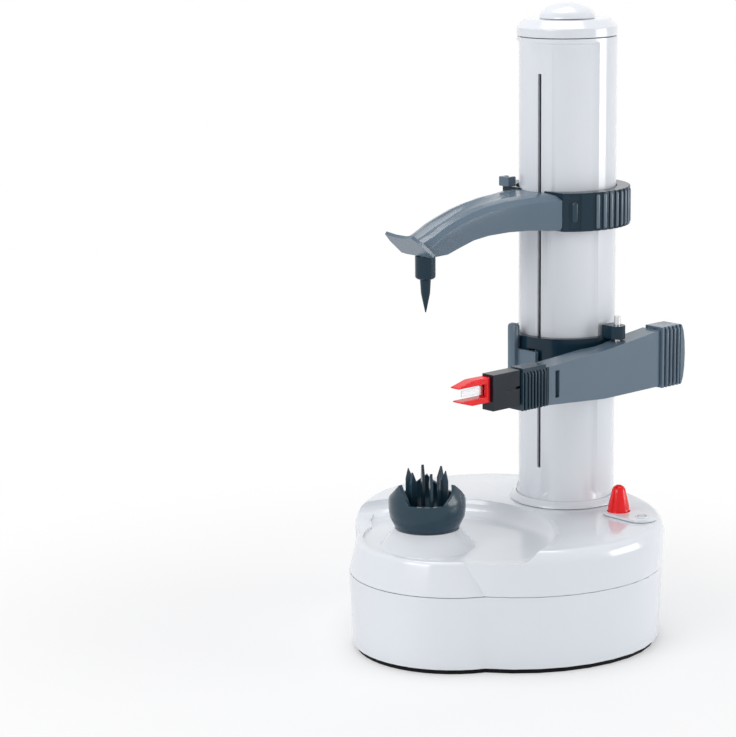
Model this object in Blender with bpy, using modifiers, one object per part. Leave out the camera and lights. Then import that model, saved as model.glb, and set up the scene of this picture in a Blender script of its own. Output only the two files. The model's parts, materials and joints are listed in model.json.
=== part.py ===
"""Electric rotary peeler, modelled as an assembly of separate pieces.

Frame: metres, +Z up. X = 0, Y = 0 is the axis on which the food turns, Z = 0 is the surface that
the base stands on, and +X points from that axis to the column. The XZ plane is the base's plane
of symmetry.
"""
import math

import bmesh
import bpy
from mathutils import Matrix, Vector

MM = 0.001
DEG = math.pi / 180.0
FULL_TURN = 2.0 * math.pi

# Clearances shared by the whole assembly
SEAT_GAP = 0.3 * MM
OVERRUN = 1.0 * MM
MERGE = 0.01 * MM

# Segment counts of turned shapes
FINE_SIDES = 48
SIDES = 32
SMALL_SIDES = 18
PIN_SIDES = 12
ROD_PHASE_SHARE = 0.37
TOOL_PHASE_SHARE = 0.23

# Gear train between the turntable, the column screw and the motor
MODULE_OUTPUT = 1.0 * MM
MODULE_MIDDLE = 0.8 * MM
MODULE_MOTOR = 0.6 * MM
TURNTABLE_TEETH = 44
TRANSFER_TEETH = 36
SECOND_PINION_TEETH = 14
SECOND_WHEEL_TEETH = 42
FIRST_PINION_TEETH = 12
FIRST_WHEEL_TEETH = 50
MOTOR_TEETH = 10
CENTRE_CLEARANCE = 0.1 * MM
TOOTH_TIP_SHARE = 0.9
TOOTH_ROOT_SHARE = 1.15
TOOTH_TIP_HALF_SHARE = 0.11
TOOTH_ROOT_HALF_SHARE = 0.31
SECOND_GEAR_BEARING_DEG = 70.0
FIRST_GEAR_BEARING_DEG = 10.0
MOTOR_BEARING_DEG = 60.0
AXLE_RADIUS = 1.5 * MM
SCREW_SETBACK = 10.0 * MM

# Base plan: two round lobes on the symmetry plane
LEFT_LOBE_X = 15.5 * MM
LEFT_LOBE_RADIUS = 47.8 * MM
RIGHT_LOBE_RADIUS = 74.4 * MM
LOBE_SPREAD_SHARE = 0.5417
RIGHT_LOBE_SQUASH_SHARE = 0.86
LOWER_SHELL_DRAFT = 1.3 * MM
SHELL_WALL = 2.4 * MM

# Base heights
PAD_THICKNESS = 2.2 * MM
PAD_INSET = 1.6 * MM
PARTING_HEIGHT = 36.5 * MM
LEFT_TOP_HEIGHT = 52.0 * MM
LEFT_TOP_INSET = 3.2 * MM
LEFT_EDGE_ROUND = 2.0 * MM
RIGHT_TOP_HEIGHT = 57.4 * MM
RIGHT_SHOULDER_HEIGHT = 7.0 * MM
RIGHT_SHOULDER_INSET = 4.5 * MM
RIGHT_BULGE = 0.8 * MM

# Tray round the turntable
TRAY_TOP_RADIUS = 60.0 * MM
TRAY_FLOOR_RADIUS = 50.0 * MM
TRAY_DEPTH = 1.2 * MM
TRAY_LIP = 2.4 * MM
CONE_FOOT_RADIUS = 22.0 * MM
CONE_TOP_RADIUS = 15.0 * MM
CONE_TOP_HEIGHT = 59.3 * MM

# Column
COLUMN_RADIUS = 23.3 * MM
COLUMN_WALL = 2.2 * MM
COLUMN_TOP_HEIGHT = 277.8 * MM
COLUMN_FLANGE_WIDTH = 1.2 * MM
COLUMN_FLANGE_THICKNESS = 3.0 * MM
PANEL_DEPTH = 1.0 * MM
PANEL_NEAR_START_DEG = -6.0
PANEL_FAR_START_DEG = 24.0
PANEL_BACK_DEG = 85.2
PANEL_GUIDE_BEVEL_DEG = 14.5
PANEL_BACK_BEVEL_DEG = 5.0
PANEL_BOTTOM_HEIGHT = 62.0 * MM
PANEL_BOTTOM_BEVEL = 3.2 * MM
PANEL_TOP_MARGIN = 1.6 * MM
SLOT_WIDTH = 1.8 * MM
SLOT_OFFSET_Y = -4.0 * MM
SLOT_BOTTOM_HEIGHT = 76.0 * MM
SLOT_TOP_MARGIN = 16.0 * MM
FOOT_RING_WIDTH = 2.8 * MM
FOOT_RING_HEIGHT = 3.0 * MM
FOOT_RING_KNEE_SHARE = 0.75

# Cap and dome
CAP_SHOULDER_RISE = 4.1 * MM
CAP_TOP_RADIUS = 19.8 * MM
CAP_TOP_RISE = 7.8 * MM
CAP_WALL = 2.0 * MM
DOME_RADIUS = 13.0 * MM
DOME_RISE = 6.9 * MM
DOME_STEM_RADIUS = 5.0 * MM

# Lead screw
SCREW_CREST_RADIUS = 5.0 * MM
SCREW_ROOT_RADIUS = 4.1 * MM
SCREW_PITCH = 4.0 * MM
SCREW_STEPS = 6
SCREW_THREAD_BOTTOM = 68.0 * MM
SCREW_TURNS = 48
SCREW_JOURNAL_RADIUS = 2.5 * MM
TOP_BEARING_THICKNESS = 4.0 * MM
JOURNAL_REACH = 2.0 * MM

# Gear frame
BATTERY_TOP_CLEARANCE = 1.2 * MM
FRAME_PLATE = 1.6 * MM
FRAME_INSET = 10.0 * MM
FRAME_POST_RADIUS = 3.0 * MM
FRAME_POST_LEFT_X = 18.0 * MM
FRAME_POST_LEFT_Y = 30.0 * MM
FRAME_POST_RIGHT_X = 98.0 * MM
FRAME_POST_RIGHT_Y = 34.0 * MM
LAYER_GAP = 0.7 * MM
MOTOR_LAYER = 3.0 * MM
MIDDLE_LAYER = 3.8 * MM
OUTPUT_LAYER = 5.0 * MM
OUTPUT_LAYER_BOTTOM = 36.0 * MM
UPPER_PLATE_GAP = 1.4 * MM
MOTOR_RADIUS = 10.0 * MM
MOTOR_LENGTH = 25.0 * MM
MOTOR_SHAFT_RADIUS = 1.0 * MM
MOTOR_SHAFT_REACH = 2.5 * MM
SCREW_HEAD_RADIUS = 2.8 * MM
SCREW_HEAD_HEIGHT = 1.6 * MM
SCREW_SHANK_RADIUS = 1.2 * MM

# Battery tray, cells and door
CELL_RADIUS = 7.15 * MM
CELL_LENGTH = 49.5 * MM
CELL_COUNT = 4
CELL_TIP_RADIUS = 2.7 * MM
CELL_TIP_LENGTH = 1.0 * MM
CELL_CLEARANCE = 0.15 * MM
CONTACT_THICKNESS = 0.8 * MM
CONTACT_HEIGHT = 8.0 * MM
TRAY_WALL = 1.5 * MM
BATTERY_X = 70.0 * MM
DOOR_BORDER = 2.0 * MM

# Turntable
SPINDLE_RADIUS = 3.0 * MM
SPINDLE_TOP_HEIGHT = 66.0 * MM
BUSH_WALL = 3.4 * MM
BUSH_FLANGE = 2.0 * MM
BUSH_FLANGE_THICKNESS = 1.2 * MM
CUP_BOTTOM_HEIGHT = 59.9 * MM
CUP_RIM_HEIGHT = 72.7 * MM
CUP_FOOT_RADIUS = 14.8 * MM
CUP_RIM_RADIUS = 17.7 * MM
CUP_WALL = 1.7 * MM
CUP_FLOOR = 3.4 * MM
CUP_HUB_RADIUS = 5.6 * MM
CUP_HUB_HEIGHT = 6.0 * MM
CROWN_HEIGHT = 8.2 * MM
CROWN_TIP_RADIUS = 14.6 * MM
CROWN_TEETH = 3
CROWN_TOOTH_DEG = 64.0
CROWN_FIRST_DEG = 47.0
PRONG_COUNT = 6
PRONG_RING_RADIUS = 8.4 * MM
PRONG_WIDTH = 3.4 * MM
PRONG_THICKNESS = 1.3 * MM
PRONG_HEIGHT = 23.0 * MM
PRONG_POINT_HEIGHT = 5.0 * MM
PRONG_HUB_WIDTH = 5.0 * MM
PRONG_HUB_THICKNESS = 2.0 * MM

# Switch group beside the column
BUTTON_X_FROM_COLUMN = -5.5 * MM
BUTTON_Y = -40.3 * MM
BUTTON_RADIUS = 5.0 * MM
BUTTON_TOP_RADIUS = 3.4 * MM
BUTTON_RISE = 12.6 * MM
BUTTON_FLANGE_RADIUS = 6.4 * MM
BUTTON_FLANGE_THICKNESS = 1.2 * MM
BUTTON_TRAVEL = 2.4 * MM
BUTTON_CLEARANCE = 0.4 * MM
PLATE_WIDTH = 15.0 * MM
PLATE_LENGTH = 28.5 * MM
PLATE_THICKNESS = 1.2 * MM
PLATE_OFFSET_Y = -7.0 * MM
LENS_RADIUS = 2.0 * MM
LENS_OFFSET_Y = -14.7 * MM
BOARD_LENGTH = 22.0 * MM
BOARD_WIDTH = 14.0 * MM
BOARD_THICKNESS = 1.2 * MM
BOARD_NEAR_SHARE = 0.7
SWITCH_SIZE = 5.0 * MM
SWITCH_HEIGHT = 2.4 * MM
SWITCH_PLUNGER_RADIUS = 1.2 * MM
SPRING_RADIUS = 4.6 * MM
SPRING_WIRE = 0.45 * MM
SPRING_TURNS = 3
INLET_HEIGHT = 29.5 * MM
INLET_RADIUS = 5.0 * MM
INLET_BORE = 2.8 * MM
INLET_LENGTH = 13.0 * MM
INLET_FLANGE_RADIUS = 6.0 * MM
INLET_FLANGE_THICKNESS = 1.0 * MM
INLET_PIN_RADIUS = 0.7 * MM

# Upper arm and its band
BAND_CLEARANCE = 0.4 * MM
BAND_OUTER_RADIUS = 29.9 * MM
BAND_BOTTOM_HEIGHT = 190.4 * MM
BAND_HEIGHT = 17.8 * MM
BAND_JOINT_X = -22.6 * MM
BAND_RIB_COUNT = 9
BAND_RIB_START_DEG = 250.0
BAND_RIB_END_DEG = 310.0
BAND_RIB_DEPTH = 0.6 * MM
BAND_RIB_WIDTH = 1.5 * MM
BAND_INSET_DEG = 232.0
BAND_INSET_WIDTH = 5.6 * MM
BAND_INSET_DEPTH = 0.8 * MM
ARM_NARROW_HALF = 8.5 * MM
ARM_ROOT_HALF = 19.6 * MM
ARM_TIP_DROP = 4.8 * MM
ARM_ROOT_LIFT = 0.5 * MM
ARM_TIP_SIDE_LIFT = 1.9 * MM
ARM_ROOT_SIDE_LIFT = 14.5 * MM
ARM_CROWN_RISE = 3.2 * MM
ARM_TROUGH_DEPTH = 2.4 * MM
ARM_CROWN_FADE_SHARE = 0.2
LIP_TROUGH_SHARE = 0.6
ARM_SECTION_SHARES = ((0.94, 0.0, 0.0, 0.0), (1.0, 0.12, 0.0, 0.0), (1.0, 1.0, 0.0, 0.0),
                      (0.8, 1.0, 0.75, 0.0), (0.5, 1.0, 1.0, 0.0), (0.28, 1.0, 1.0, 0.8),
                      (0.0, 1.0, 1.0, 1.0))
ARM_STATION_SHARES = ((0.045, 0.0, 0.0, 0.0, 0.9), (0.145, 0.01, 0.04, 0.27, 1.0),
                      (0.24, 0.03, 0.44, 0.46, 1.0), (0.36, 0.08, 0.93, 0.66, 0.85),
                      (0.48, 0.15, 1.16, 0.80, 0.6), (0.64, 0.28, 1.25, 0.92, 0.3),
                      (0.80, 0.50, 1.20, 0.96, 0.08), (0.91, 0.80, 1.08, 0.98, 0.0),
                      (1.0, 1.0, 1.0, 1.0, 0.0))
LIP_LENGTH = 15.2 * MM
LIP_HALF_WIDTH = 10.6 * MM
LIP_THICKNESS = 1.5 * MM
LIP_TILT_DEG = 40.5
LIP_FOOT_X = -4.1 * MM
LIP_FOOT_DROP = 3.7 * MM
ARM_TAB_X = -18.3 * MM
ARM_TAB_Y = 19.0 * MM
ARM_TAB_LENGTH = 6.5 * MM
ARM_TAB_WIDTH = 5.0 * MM
ARM_TAB_HEIGHT = 4.5 * MM
ARM_TAB_NOTCH_SHARES = (0.75, 0.3, 0.45)
LOCK_HEIGHT = 9.0 * MM
TONGUE_THICKNESS = 1.4 * MM
BAND_SCREW_Y = 16.4 * MM
BAND_SCREW_LENGTH = 9.0 * MM

# Top spike
HOUSING_RADIUS = 4.65 * MM
HOUSING_LENGTH = 10.9 * MM
HOUSING_EDGE = 0.8 * MM
SPIKE_SHAFT_RADIUS = 1.9 * MM
SPIKE_HEAD_RADIUS = 3.2 * MM
SPIKE_HEAD_THICKNESS = 1.6 * MM
SPIKE_HEAD_LIFT = 6.9 * MM
SPIKE_ROOT_RADIUS = 2.5 * MM
SPIKE_WAIST_RADIUS = 2.1 * MM
SPIKE_WAIST_DROP = 6.3 * MM
SPIKE_LENGTH = 15.0 * MM
SPIKE_POINT_RADIUS = 0.25 * MM

# Peel collar
PEEL_BOTTOM_HEIGHT = 113.5 * MM
PEEL_TOP_HEIGHT = 139.5 * MM
PEEL_OUTER_RADIUS = 26.9 * MM
PEEL_WINDOW_HEIGHT = 17.0 * MM
PEEL_WINDOW_WIDTH = 4.0 * MM
LUG_RADIUS = 3.8 * MM
LUG_CLEARANCE = 1.0 * MM
LUG_SHARE = 0.62
EAR_THICKNESS = 6.2 * MM
EAR_GAP = 0.5 * MM
EAR_RISE = 1.1 * MM
PIVOT_X_FROM_COLUMN = 1.9 * MM
PIVOT_Y = -31.5 * MM
PIN_RADIUS = 1.5 * MM
PIN_HEAD_RADIUS = 2.3 * MM
PIN_HEAD_HEIGHT = 1.2 * MM
PIN_STAND = 4.3 * MM
LEVER_SPRING_WIRE = 0.45 * MM
LEVER_SPRING_RADIUS = 2.6 * MM
LEVER_SPRING_TURNS = 4
TAB_PLATE_THICKNESS = 2.0 * MM
TAB_STAND_OFF = 0.5 * MM
TAB_TRAVEL = 1.6 * MM
TAB_PLATE_HEIGHT = 16.0 * MM
TAB_PLATE_NEAR_Y = -9.0 * MM
TAB_POST_NEAR_Y = 2.5 * MM
TAB_POST_WIDTH = 5.5 * MM
TAB_POST_THICKNESS = 4.2 * MM
TAB_POST_TOP = 145.5 * MM
TAB_POST_ROUND = 1.6 * MM
NUT_HEIGHT = 12.0 * MM
NUT_HALF_WIDTH = 7.5 * MM
NUT_THREAD_CLEARANCE = 0.4 * MM

# Peel lever
LEVER_LEFT_X = 40.4 * MM
LEVER_RIGHT_X = 114.6 * MM
LEVER_FRONT_Y = -38.0 * MM
LEVER_BACK_Y = -27.0 * MM
LEVER_WALL = 2.2 * MM
LEVER_LEFT_BOTTOM = 116.2 * MM
LEVER_MIDDLE_BOTTOM = 113.4 * MM
LEVER_RIGHT_BOTTOM = 113.6 * MM
LEVER_LEFT_TOP = 133.8 * MM
LEVER_MIDDLE_TOP = 136.2 * MM
LEVER_RIGHT_TOP = 140.4 * MM
LEVER_SWING_OUT_DEG = 9.0
LEVER_SWING_IN_DEG = -13.0
LEVER_WINDOW_X = 44.6 * MM
LEVER_WINDOW_WIDTH = 2.6 * MM
LEVER_WINDOW_HEIGHT = 12.6 * MM
GRIP_LENGTH = 15.8 * MM
GRIP_BOTTOM = 112.8 * MM
GRIP_TOP = 141.8 * MM
GRIP_PROUD = 1.4 * MM
GRIP_RIBS = 5
GRIP_RIB_DEPTH = 1.0 * MM
GRIP_RIB_SHARE = 0.45
GRIP_TAIL = 3.0 * MM
TONGUE_REACH = 24.0 * MM
TONGUE_HEIGHT = 8.0 * MM
TONGUE_DEPTH = 3.4 * MM
TONGUE_Y = -34.5 * MM

# Blade end of the lever
LATCH_LENGTH = 16.0 * MM
LATCH_TRAVEL = 1.6 * MM
LATCH_HEIGHT = 17.4 * MM
LATCH_FRONT_Y = -39.4 * MM
LATCH_BACK_Y = -30.2 * MM
LATCH_RIBS = 8
LATCH_RIB_DEPTH = 0.7 * MM
LATCH_RIB_SHARES = (0.3, 0.4)
LATCH_CENTRE_HEIGHT = 125.2 * MM
LATCH_CAP_HEIGHT = 1.8 * MM
HOLDER_LEFT_X = 5.0 * MM
HOLDER_RIGHT_X = 21.6 * MM
HOLDER_BOTTOM = 119.0 * MM
HOLDER_TOP = 135.4 * MM
HOLDER_FRONT_Y = -38.4 * MM
HOLDER_BACK_Y = -31.4 * MM
HOLDER_SLOT_HEIGHT = 1.2 * MM
HOLDER_SLOT_LENGTH = 8.4 * MM
HOLDER_SLOT_SHARE = 0.52
GUARD_TIP_X = -14.5 * MM
GUARD_WEB_LEFT_X = 2.7 * MM
GUARD_UPPER_HEIGHT = 133.0 * MM
GUARD_LOWER_HEIGHT = 124.4 * MM
GUARD_FINGER = 2.8 * MM
GUARD_HALF_DEPTH = 2.6 * MM
GUARD_Y = -34.2 * MM
GUARD_TIP_SHARE = 0.45
BLADE_THICKNESS = 0.6 * MM
BLADE_LEFT_X = -10.5 * MM
BLADE_HEIGHT = 4.2 * MM

# Values worked out from the ones above
OUTPUT_PITCH_TURNTABLE = TURNTABLE_TEETH * MODULE_OUTPUT / 2.0
OUTPUT_PITCH_TRANSFER = TRANSFER_TEETH * MODULE_OUTPUT / 2.0
OUTPUT_PITCH_SECOND = SECOND_PINION_TEETH * MODULE_OUTPUT / 2.0
MIDDLE_PITCH_SECOND = SECOND_WHEEL_TEETH * MODULE_MIDDLE / 2.0
MIDDLE_PITCH_FIRST = FIRST_PINION_TEETH * MODULE_MIDDLE / 2.0
MOTOR_PITCH_FIRST = FIRST_WHEEL_TEETH * MODULE_MOTOR / 2.0
MOTOR_PITCH = MOTOR_TEETH * MODULE_MOTOR / 2.0
TRANSFER_X = OUTPUT_PITCH_TURNTABLE + OUTPUT_PITCH_TRANSFER + CENTRE_CLEARANCE
SCREW_X = 2.0 * TRANSFER_X
COLUMN_X = SCREW_X + SCREW_SETBACK


def polar(centre_x, centre_y, radius, degrees):
    """A point at a bearing round a centre."""
    return (centre_x + radius * math.cos(degrees * DEG), centre_y + radius * math.sin(degrees * DEG))


SECOND_X, SECOND_Y = polar(TRANSFER_X, 0.0, OUTPUT_PITCH_TRANSFER + OUTPUT_PITCH_SECOND
                           + CENTRE_CLEARANCE, SECOND_GEAR_BEARING_DEG)
FIRST_X, FIRST_Y = polar(SECOND_X, SECOND_Y, MIDDLE_PITCH_SECOND + MIDDLE_PITCH_FIRST
                         + CENTRE_CLEARANCE, FIRST_GEAR_BEARING_DEG)
MOTOR_X, MOTOR_Y = polar(FIRST_X, FIRST_Y, MOTOR_PITCH_FIRST + MOTOR_PITCH
                         + CENTRE_CLEARANCE, MOTOR_BEARING_DEG)

RIGHT_LOBE_X = LEFT_LOBE_X + LOBE_SPREAD_SHARE * RIGHT_LOBE_RADIUS
SHELL_BOTTOM = PAD_THICKNESS + SEAT_GAP
FLOOR_TOP = SHELL_BOTTOM + SHELL_WALL
TRAY_FLOOR_HEIGHT = LEFT_TOP_HEIGHT - TRAY_DEPTH
LEFT_CEILING = TRAY_FLOOR_HEIGHT - SHELL_WALL
RIGHT_CEILING = RIGHT_TOP_HEIGHT - SHELL_WALL
CELL_BASE = SHELL_BOTTOM + TRAY_WALL
BATTERY_ROOF = CELL_BASE + 2.0 * CELL_RADIUS + 2.0 * CELL_CLEARANCE
BATTERY_TOP = BATTERY_ROOF + TRAY_WALL
LOWER_PLATE_BOTTOM = BATTERY_TOP + BATTERY_TOP_CLEARANCE
LOWER_PLATE_TOP = LOWER_PLATE_BOTTOM + FRAME_PLATE
MOTOR_LAYER_BOTTOM = LOWER_PLATE_TOP + LAYER_GAP
MIDDLE_LAYER_BOTTOM = MOTOR_LAYER_BOTTOM + MOTOR_LAYER + LAYER_GAP
OUTPUT_LAYER_TOP = OUTPUT_LAYER_BOTTOM + OUTPUT_LAYER
UPPER_PLATE_BOTTOM = OUTPUT_LAYER_TOP + UPPER_PLATE_GAP
UPPER_PLATE_TOP = UPPER_PLATE_BOTTOM + FRAME_PLATE
AXLE_BORE = AXLE_RADIUS + SEAT_GAP
COLUMN_BOTTOM = UPPER_PLATE_TOP + SEAT_GAP
COLUMN_BORE = COLUMN_RADIUS - COLUMN_WALL
CAP_BOTTOM = COLUMN_TOP_HEIGHT + SEAT_GAP
CAP_TOP = CAP_BOTTOM + CAP_TOP_RISE
SCREW_THREAD_TOP = SCREW_THREAD_BOTTOM + SCREW_TURNS * SCREW_PITCH
TOP_BEARING_BOTTOM = SCREW_THREAD_TOP + 0.5 * SCREW_PITCH + SEAT_GAP
BAND_BORE = COLUMN_RADIUS + BAND_CLEARANCE
BAND_TOP_HEIGHT = BAND_BOTTOM_HEIGHT + BAND_HEIGHT
ARM_TIP_BOTTOM = BAND_BOTTOM_HEIGHT - ARM_TIP_DROP
ARM_ROOT_BOTTOM = BAND_BOTTOM_HEIGHT + ARM_ROOT_LIFT
ARM_TIP_SIDE = BAND_BOTTOM_HEIGHT + ARM_TIP_SIDE_LIFT
ARM_ROOT_SIDE = BAND_BOTTOM_HEIGHT + ARM_ROOT_SIDE_LIFT
LIP_FOOT_HEIGHT = BAND_BOTTOM_HEIGHT - LIP_FOOT_DROP
HOUSING_BOTTOM_HEIGHT = ARM_TIP_BOTTOM - HOUSING_LENGTH
SPIKE_HEAD_HEIGHT = HOUSING_BOTTOM_HEIGHT + SPIKE_HEAD_LIFT
PIVOT_X = COLUMN_X + PIVOT_X_FROM_COLUMN
BUTTON_X = COLUMN_X + BUTTON_X_FROM_COLUMN
PLATE_TOP = RIGHT_TOP_HEIGHT + SEAT_GAP + PLATE_THICKNESS
BOARD_BOTTOM = UPPER_PLATE_TOP + SEAT_GAP
BOARD_TOP = BOARD_BOTTOM + BOARD_THICKNESS
BUTTON_FLANGE_TOP = RIGHT_CEILING - SEAT_GAP
BUTTON_FLANGE_BOTTOM = BUTTON_FLANGE_TOP - BUTTON_FLANGE_THICKNESS
CONTACT_RAIL = CONTACT_THICKNESS + SEAT_GAP
TRAY_WIDTH_INSIDE = (CELL_COUNT * 2.0 * (CELL_RADIUS + CELL_CLEARANCE) + 2.0 * CELL_CLEARANCE
                     + CONTACT_RAIL)
TRAY_LENGTH_INSIDE = CELL_LENGTH + CELL_TIP_LENGTH + 2.0 * (CONTACT_THICKNESS + 2.0 * SEAT_GAP)
INLET_DRAFT_SHARE = (PARTING_HEIGHT - INLET_HEIGHT) / (PARTING_HEIGHT - SHELL_BOTTOM)
INLET_FACE_X = RIGHT_LOBE_X + RIGHT_LOBE_SQUASH_SHARE * (RIGHT_LOBE_RADIUS - LOWER_SHELL_DRAFT
                                                         * INLET_DRAFT_SHARE)
TRAY_WIDTH_OUTSIDE = TRAY_WIDTH_INSIDE + 2.0 * TRAY_WALL
TRAY_LENGTH_OUTSIDE = TRAY_LENGTH_INSIDE + 2.0 * TRAY_WALL
DOOR_WIDTH = TRAY_WIDTH_INSIDE + 2.0 * DOOR_BORDER
DOOR_LENGTH = TRAY_LENGTH_INSIDE + 2.0 * DOOR_BORDER
LEVER_MIDDLE_X = LEVER_LEFT_X + (LEVER_RIGHT_X - LEVER_LEFT_X) / 2.0

WHITE_PLASTIC = ("white_plastic", (0.86, 0.87, 0.89), 0.25, 0.0)
INNER_WHITE = ("inner_white", (0.80, 0.80, 0.78), 0.45, 0.0)
SLATE_PLASTIC = ("slate_plastic", (0.115, 0.175, 0.225), 0.3, 0.0)
DARK_SLATE = ("dark_slate", (0.04, 0.08, 0.115), 0.3, 0.0)
BLACK_PLASTIC = ("black_plastic", (0.012, 0.014, 0.02), 0.35, 0.0)
RED_PLASTIC = ("red_plastic", (0.80, 0.015, 0.02), 0.3, 0.0)
BLACK_RUBBER = ("black_rubber", (0.02, 0.02, 0.022), 0.7, 0.0)
STEEL = ("steel", (0.72, 0.73, 0.75), 0.25, 1.0)
GEAR_NYLON = ("gear_nylon", (0.82, 0.80, 0.72), 0.5, 0.0)
CELL_WRAP = ("cell_wrap", (0.12, 0.13, 0.15), 0.4, 0.2)
BOARD_GREEN = ("board_green", (0.03, 0.18, 0.07), 0.5, 0.0)
LENS_CLEAR = ("lens_clear", (0.62, 0.64, 0.66), 0.15, 0.0)


class Workshop:
    """Holds the collections and makes every object in them."""

    def __init__(self):
        self.parts = self.new_collection("rotary_peeler")
        self.cutters = self.new_collection("cutters")
        self.axes = self.new_collection("joint_axes")
        self.materials = {}

    @staticmethod
    def new_collection(name):
        """A collection under the scene's own."""
        collection = bpy.data.collections.new(name)
        bpy.context.scene.collection.children.link(collection)
        return collection

    def finish(self, look):
        """The Principled material for a look, made once."""
        name, colour, roughness, metallic = look
        if name not in self.materials:
            made = bpy.data.materials.new(name)
            made.use_nodes = True
            shader = made.node_tree.nodes["Principled BSDF"]
            shader.inputs["Base Color"].default_value = (*colour, 1.0)
            shader.inputs["Roughness"].default_value = roughness
            shader.inputs["Metallic"].default_value = metallic
            self.materials[name] = made
        return self.materials[name]

    def place(self, name, mesh, look=None):
        """Link a mesh as a part when it has a look, else as a hidden cutter."""
        made = bpy.data.objects.new(name, mesh)
        if look is None:
            self.cutters.objects.link(made)
            made.hide_render = True
            made.display_type = "WIRE"
        else:
            self.parts.objects.link(made)
            mesh.materials.clear()
            mesh.materials.append(self.finish(look))
        return made


SHOP = None


def clear_scene():
    """Remove every object of the scene the file opens with."""
    for old in list(bpy.data.objects):
        bpy.data.objects.remove(old, do_unlink=True)


def shade(mesh):
    """Smooth faces with crisp edges."""
    mesh.shade_smooth()
    mesh.set_sharp_from_angle(angle=35.0 * DEG)


def turned(name, profile, look=None, sides=SIDES, at=(0.0, 0.0)):
    """Turn a profile of (radius, height) points round a vertical axis.

    The profile runs from top to bottom on its outer side. It ends on the axis for a solid, and
    closes on itself for a ring.
    """
    mesh = bpy.data.meshes.new(name)
    points = [(radius, 0.0, height) for radius, height in profile]
    edges = [(i, i + 1) for i in range(len(points) - 1)]
    if points[0][0] > 0.0 or points[-1][0] > 0.0:
        edges.append((len(points) - 1, 0))
    mesh.from_pydata(points, edges, [])
    made = SHOP.place(name, mesh, look)
    made.location = (at[0], at[1], 0.0)
    if look is None:
        made.rotation_euler = (0.0, 0.0, TOOL_PHASE_SHARE * FULL_TURN / sides)
    screw = made.modifiers.new("turn", "SCREW")
    screw.steps = sides
    screw.render_steps = sides
    screw.use_merge_vertices = True
    screw.merge_threshold = MERGE
    screw.use_smooth_shade = True
    return made


def rod(name, radius, bottom, top, look=None, sides=PIN_SIDES, at=(0.0, 0.0)):
    """A plain upright cylinder between two heights."""
    mesh = bpy.data.meshes.new(name)
    shape = bmesh.new()
    bmesh.ops.create_cone(shape, cap_ends=True, segments=sides, radius1=radius, radius2=radius,
                          depth=top - bottom)
    turn = Matrix.Rotation(ROD_PHASE_SHARE * FULL_TURN / sides, 4, "Z")
    place = Matrix.Translation((at[0], at[1], (top + bottom) / 2.0))
    bmesh.ops.transform(shape, matrix=place @ turn, verts=shape.verts)
    shape.to_mesh(mesh)
    shape.free()
    shade(mesh)
    return SHOP.place(name, mesh, look)


def lying_rod(name, radius, start, along, length, look=None, sides=PIN_SIDES):
    """A cylinder from a start point along a direction."""
    mesh = bpy.data.meshes.new(name)
    shape = bmesh.new()
    bmesh.ops.create_cone(shape, cap_ends=True, segments=sides, radius1=radius, radius2=radius,
                          depth=length)
    direction = Vector(along).normalized()
    turn = Matrix.Rotation(ROD_PHASE_SHARE * FULL_TURN / sides, 4, "Z")
    tip = Vector((0.0, 0.0, 1.0)).rotation_difference(direction).to_matrix().to_4x4()
    middle = Matrix.Translation(Vector(start) + direction * (length / 2.0))
    bmesh.ops.transform(shape, matrix=middle @ tip @ turn, verts=shape.verts)
    shape.to_mesh(mesh)
    shape.free()
    shade(mesh)
    return SHOP.place(name, mesh, look)


def block(name, low, high, look=None, turn_deg=0.0, about=(0.0, 0.0), edge=0.0):
    """A box between two corners, turned about an upright axis if asked, with bevelled edges."""
    mesh = bpy.data.meshes.new(name)
    shape = bmesh.new()
    bmesh.ops.create_cube(shape, size=1.0)
    size = [high[i] - low[i] for i in range(3)]
    middle = [(high[i] + low[i]) / 2.0 for i in range(3)]
    bmesh.ops.scale(shape, vec=size, verts=shape.verts)
    bmesh.ops.translate(shape, vec=middle, verts=shape.verts)
    if turn_deg:
        bmesh.ops.rotate(shape, verts=shape.verts, cent=(about[0], about[1], 0.0),
                         matrix=Matrix.Rotation(turn_deg * DEG, 3, "Z"))
    shape.to_mesh(mesh)
    shape.free()
    made = SHOP.place(name, mesh, look)
    if edge:
        soften(made, edge)
    return made


def soften(made, width, segments=2):
    """Round the sharp edges of an object."""
    bevel = made.modifiers.new("soft_edges", "BEVEL")
    bevel.width = width
    bevel.segments = segments
    bevel.limit_method = "ANGLE"
    bevel.angle_limit = 50.0 * DEG


def sheet_outline(name, outlines, bottom, top, look=None):
    """An upright plate from closed XY outlines, the later ones being holes."""
    curve = bpy.data.curves.new(name, "CURVE")
    curve.dimensions = "2D"
    curve.fill_mode = "BOTH"
    curve.extrude = (top - bottom) / 2.0
    for outline in outlines:
        spline = curve.splines.new("POLY")
        spline.points.add(len(outline) - 1)
        for point, (x, y) in zip(spline.points, outline):
            point.co = (x, y, 0.0, 1.0)
        spline.use_cyclic_u = True
    drawn = bpy.data.objects.new(name + "_drawn", curve)
    SHOP.cutters.objects.link(drawn)
    bpy.context.view_layer.update()
    mesh = bpy.data.meshes.new_from_object(drawn.evaluated_get(
        bpy.context.evaluated_depsgraph_get()))
    bpy.data.objects.remove(drawn, do_unlink=True)
    shape = bmesh.new()
    shape.from_mesh(mesh)
    bmesh.ops.remove_doubles(shape, verts=shape.verts, dist=MERGE / 10.0)
    bmesh.ops.recalc_face_normals(shape, faces=shape.faces)
    bmesh.ops.translate(shape, verts=shape.verts, vec=(0.0, 0.0, (top + bottom) / 2.0))
    shape.to_mesh(mesh)
    shape.free()
    mesh.name = name
    shade(mesh)
    return SHOP.place(name, mesh, look)


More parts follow.
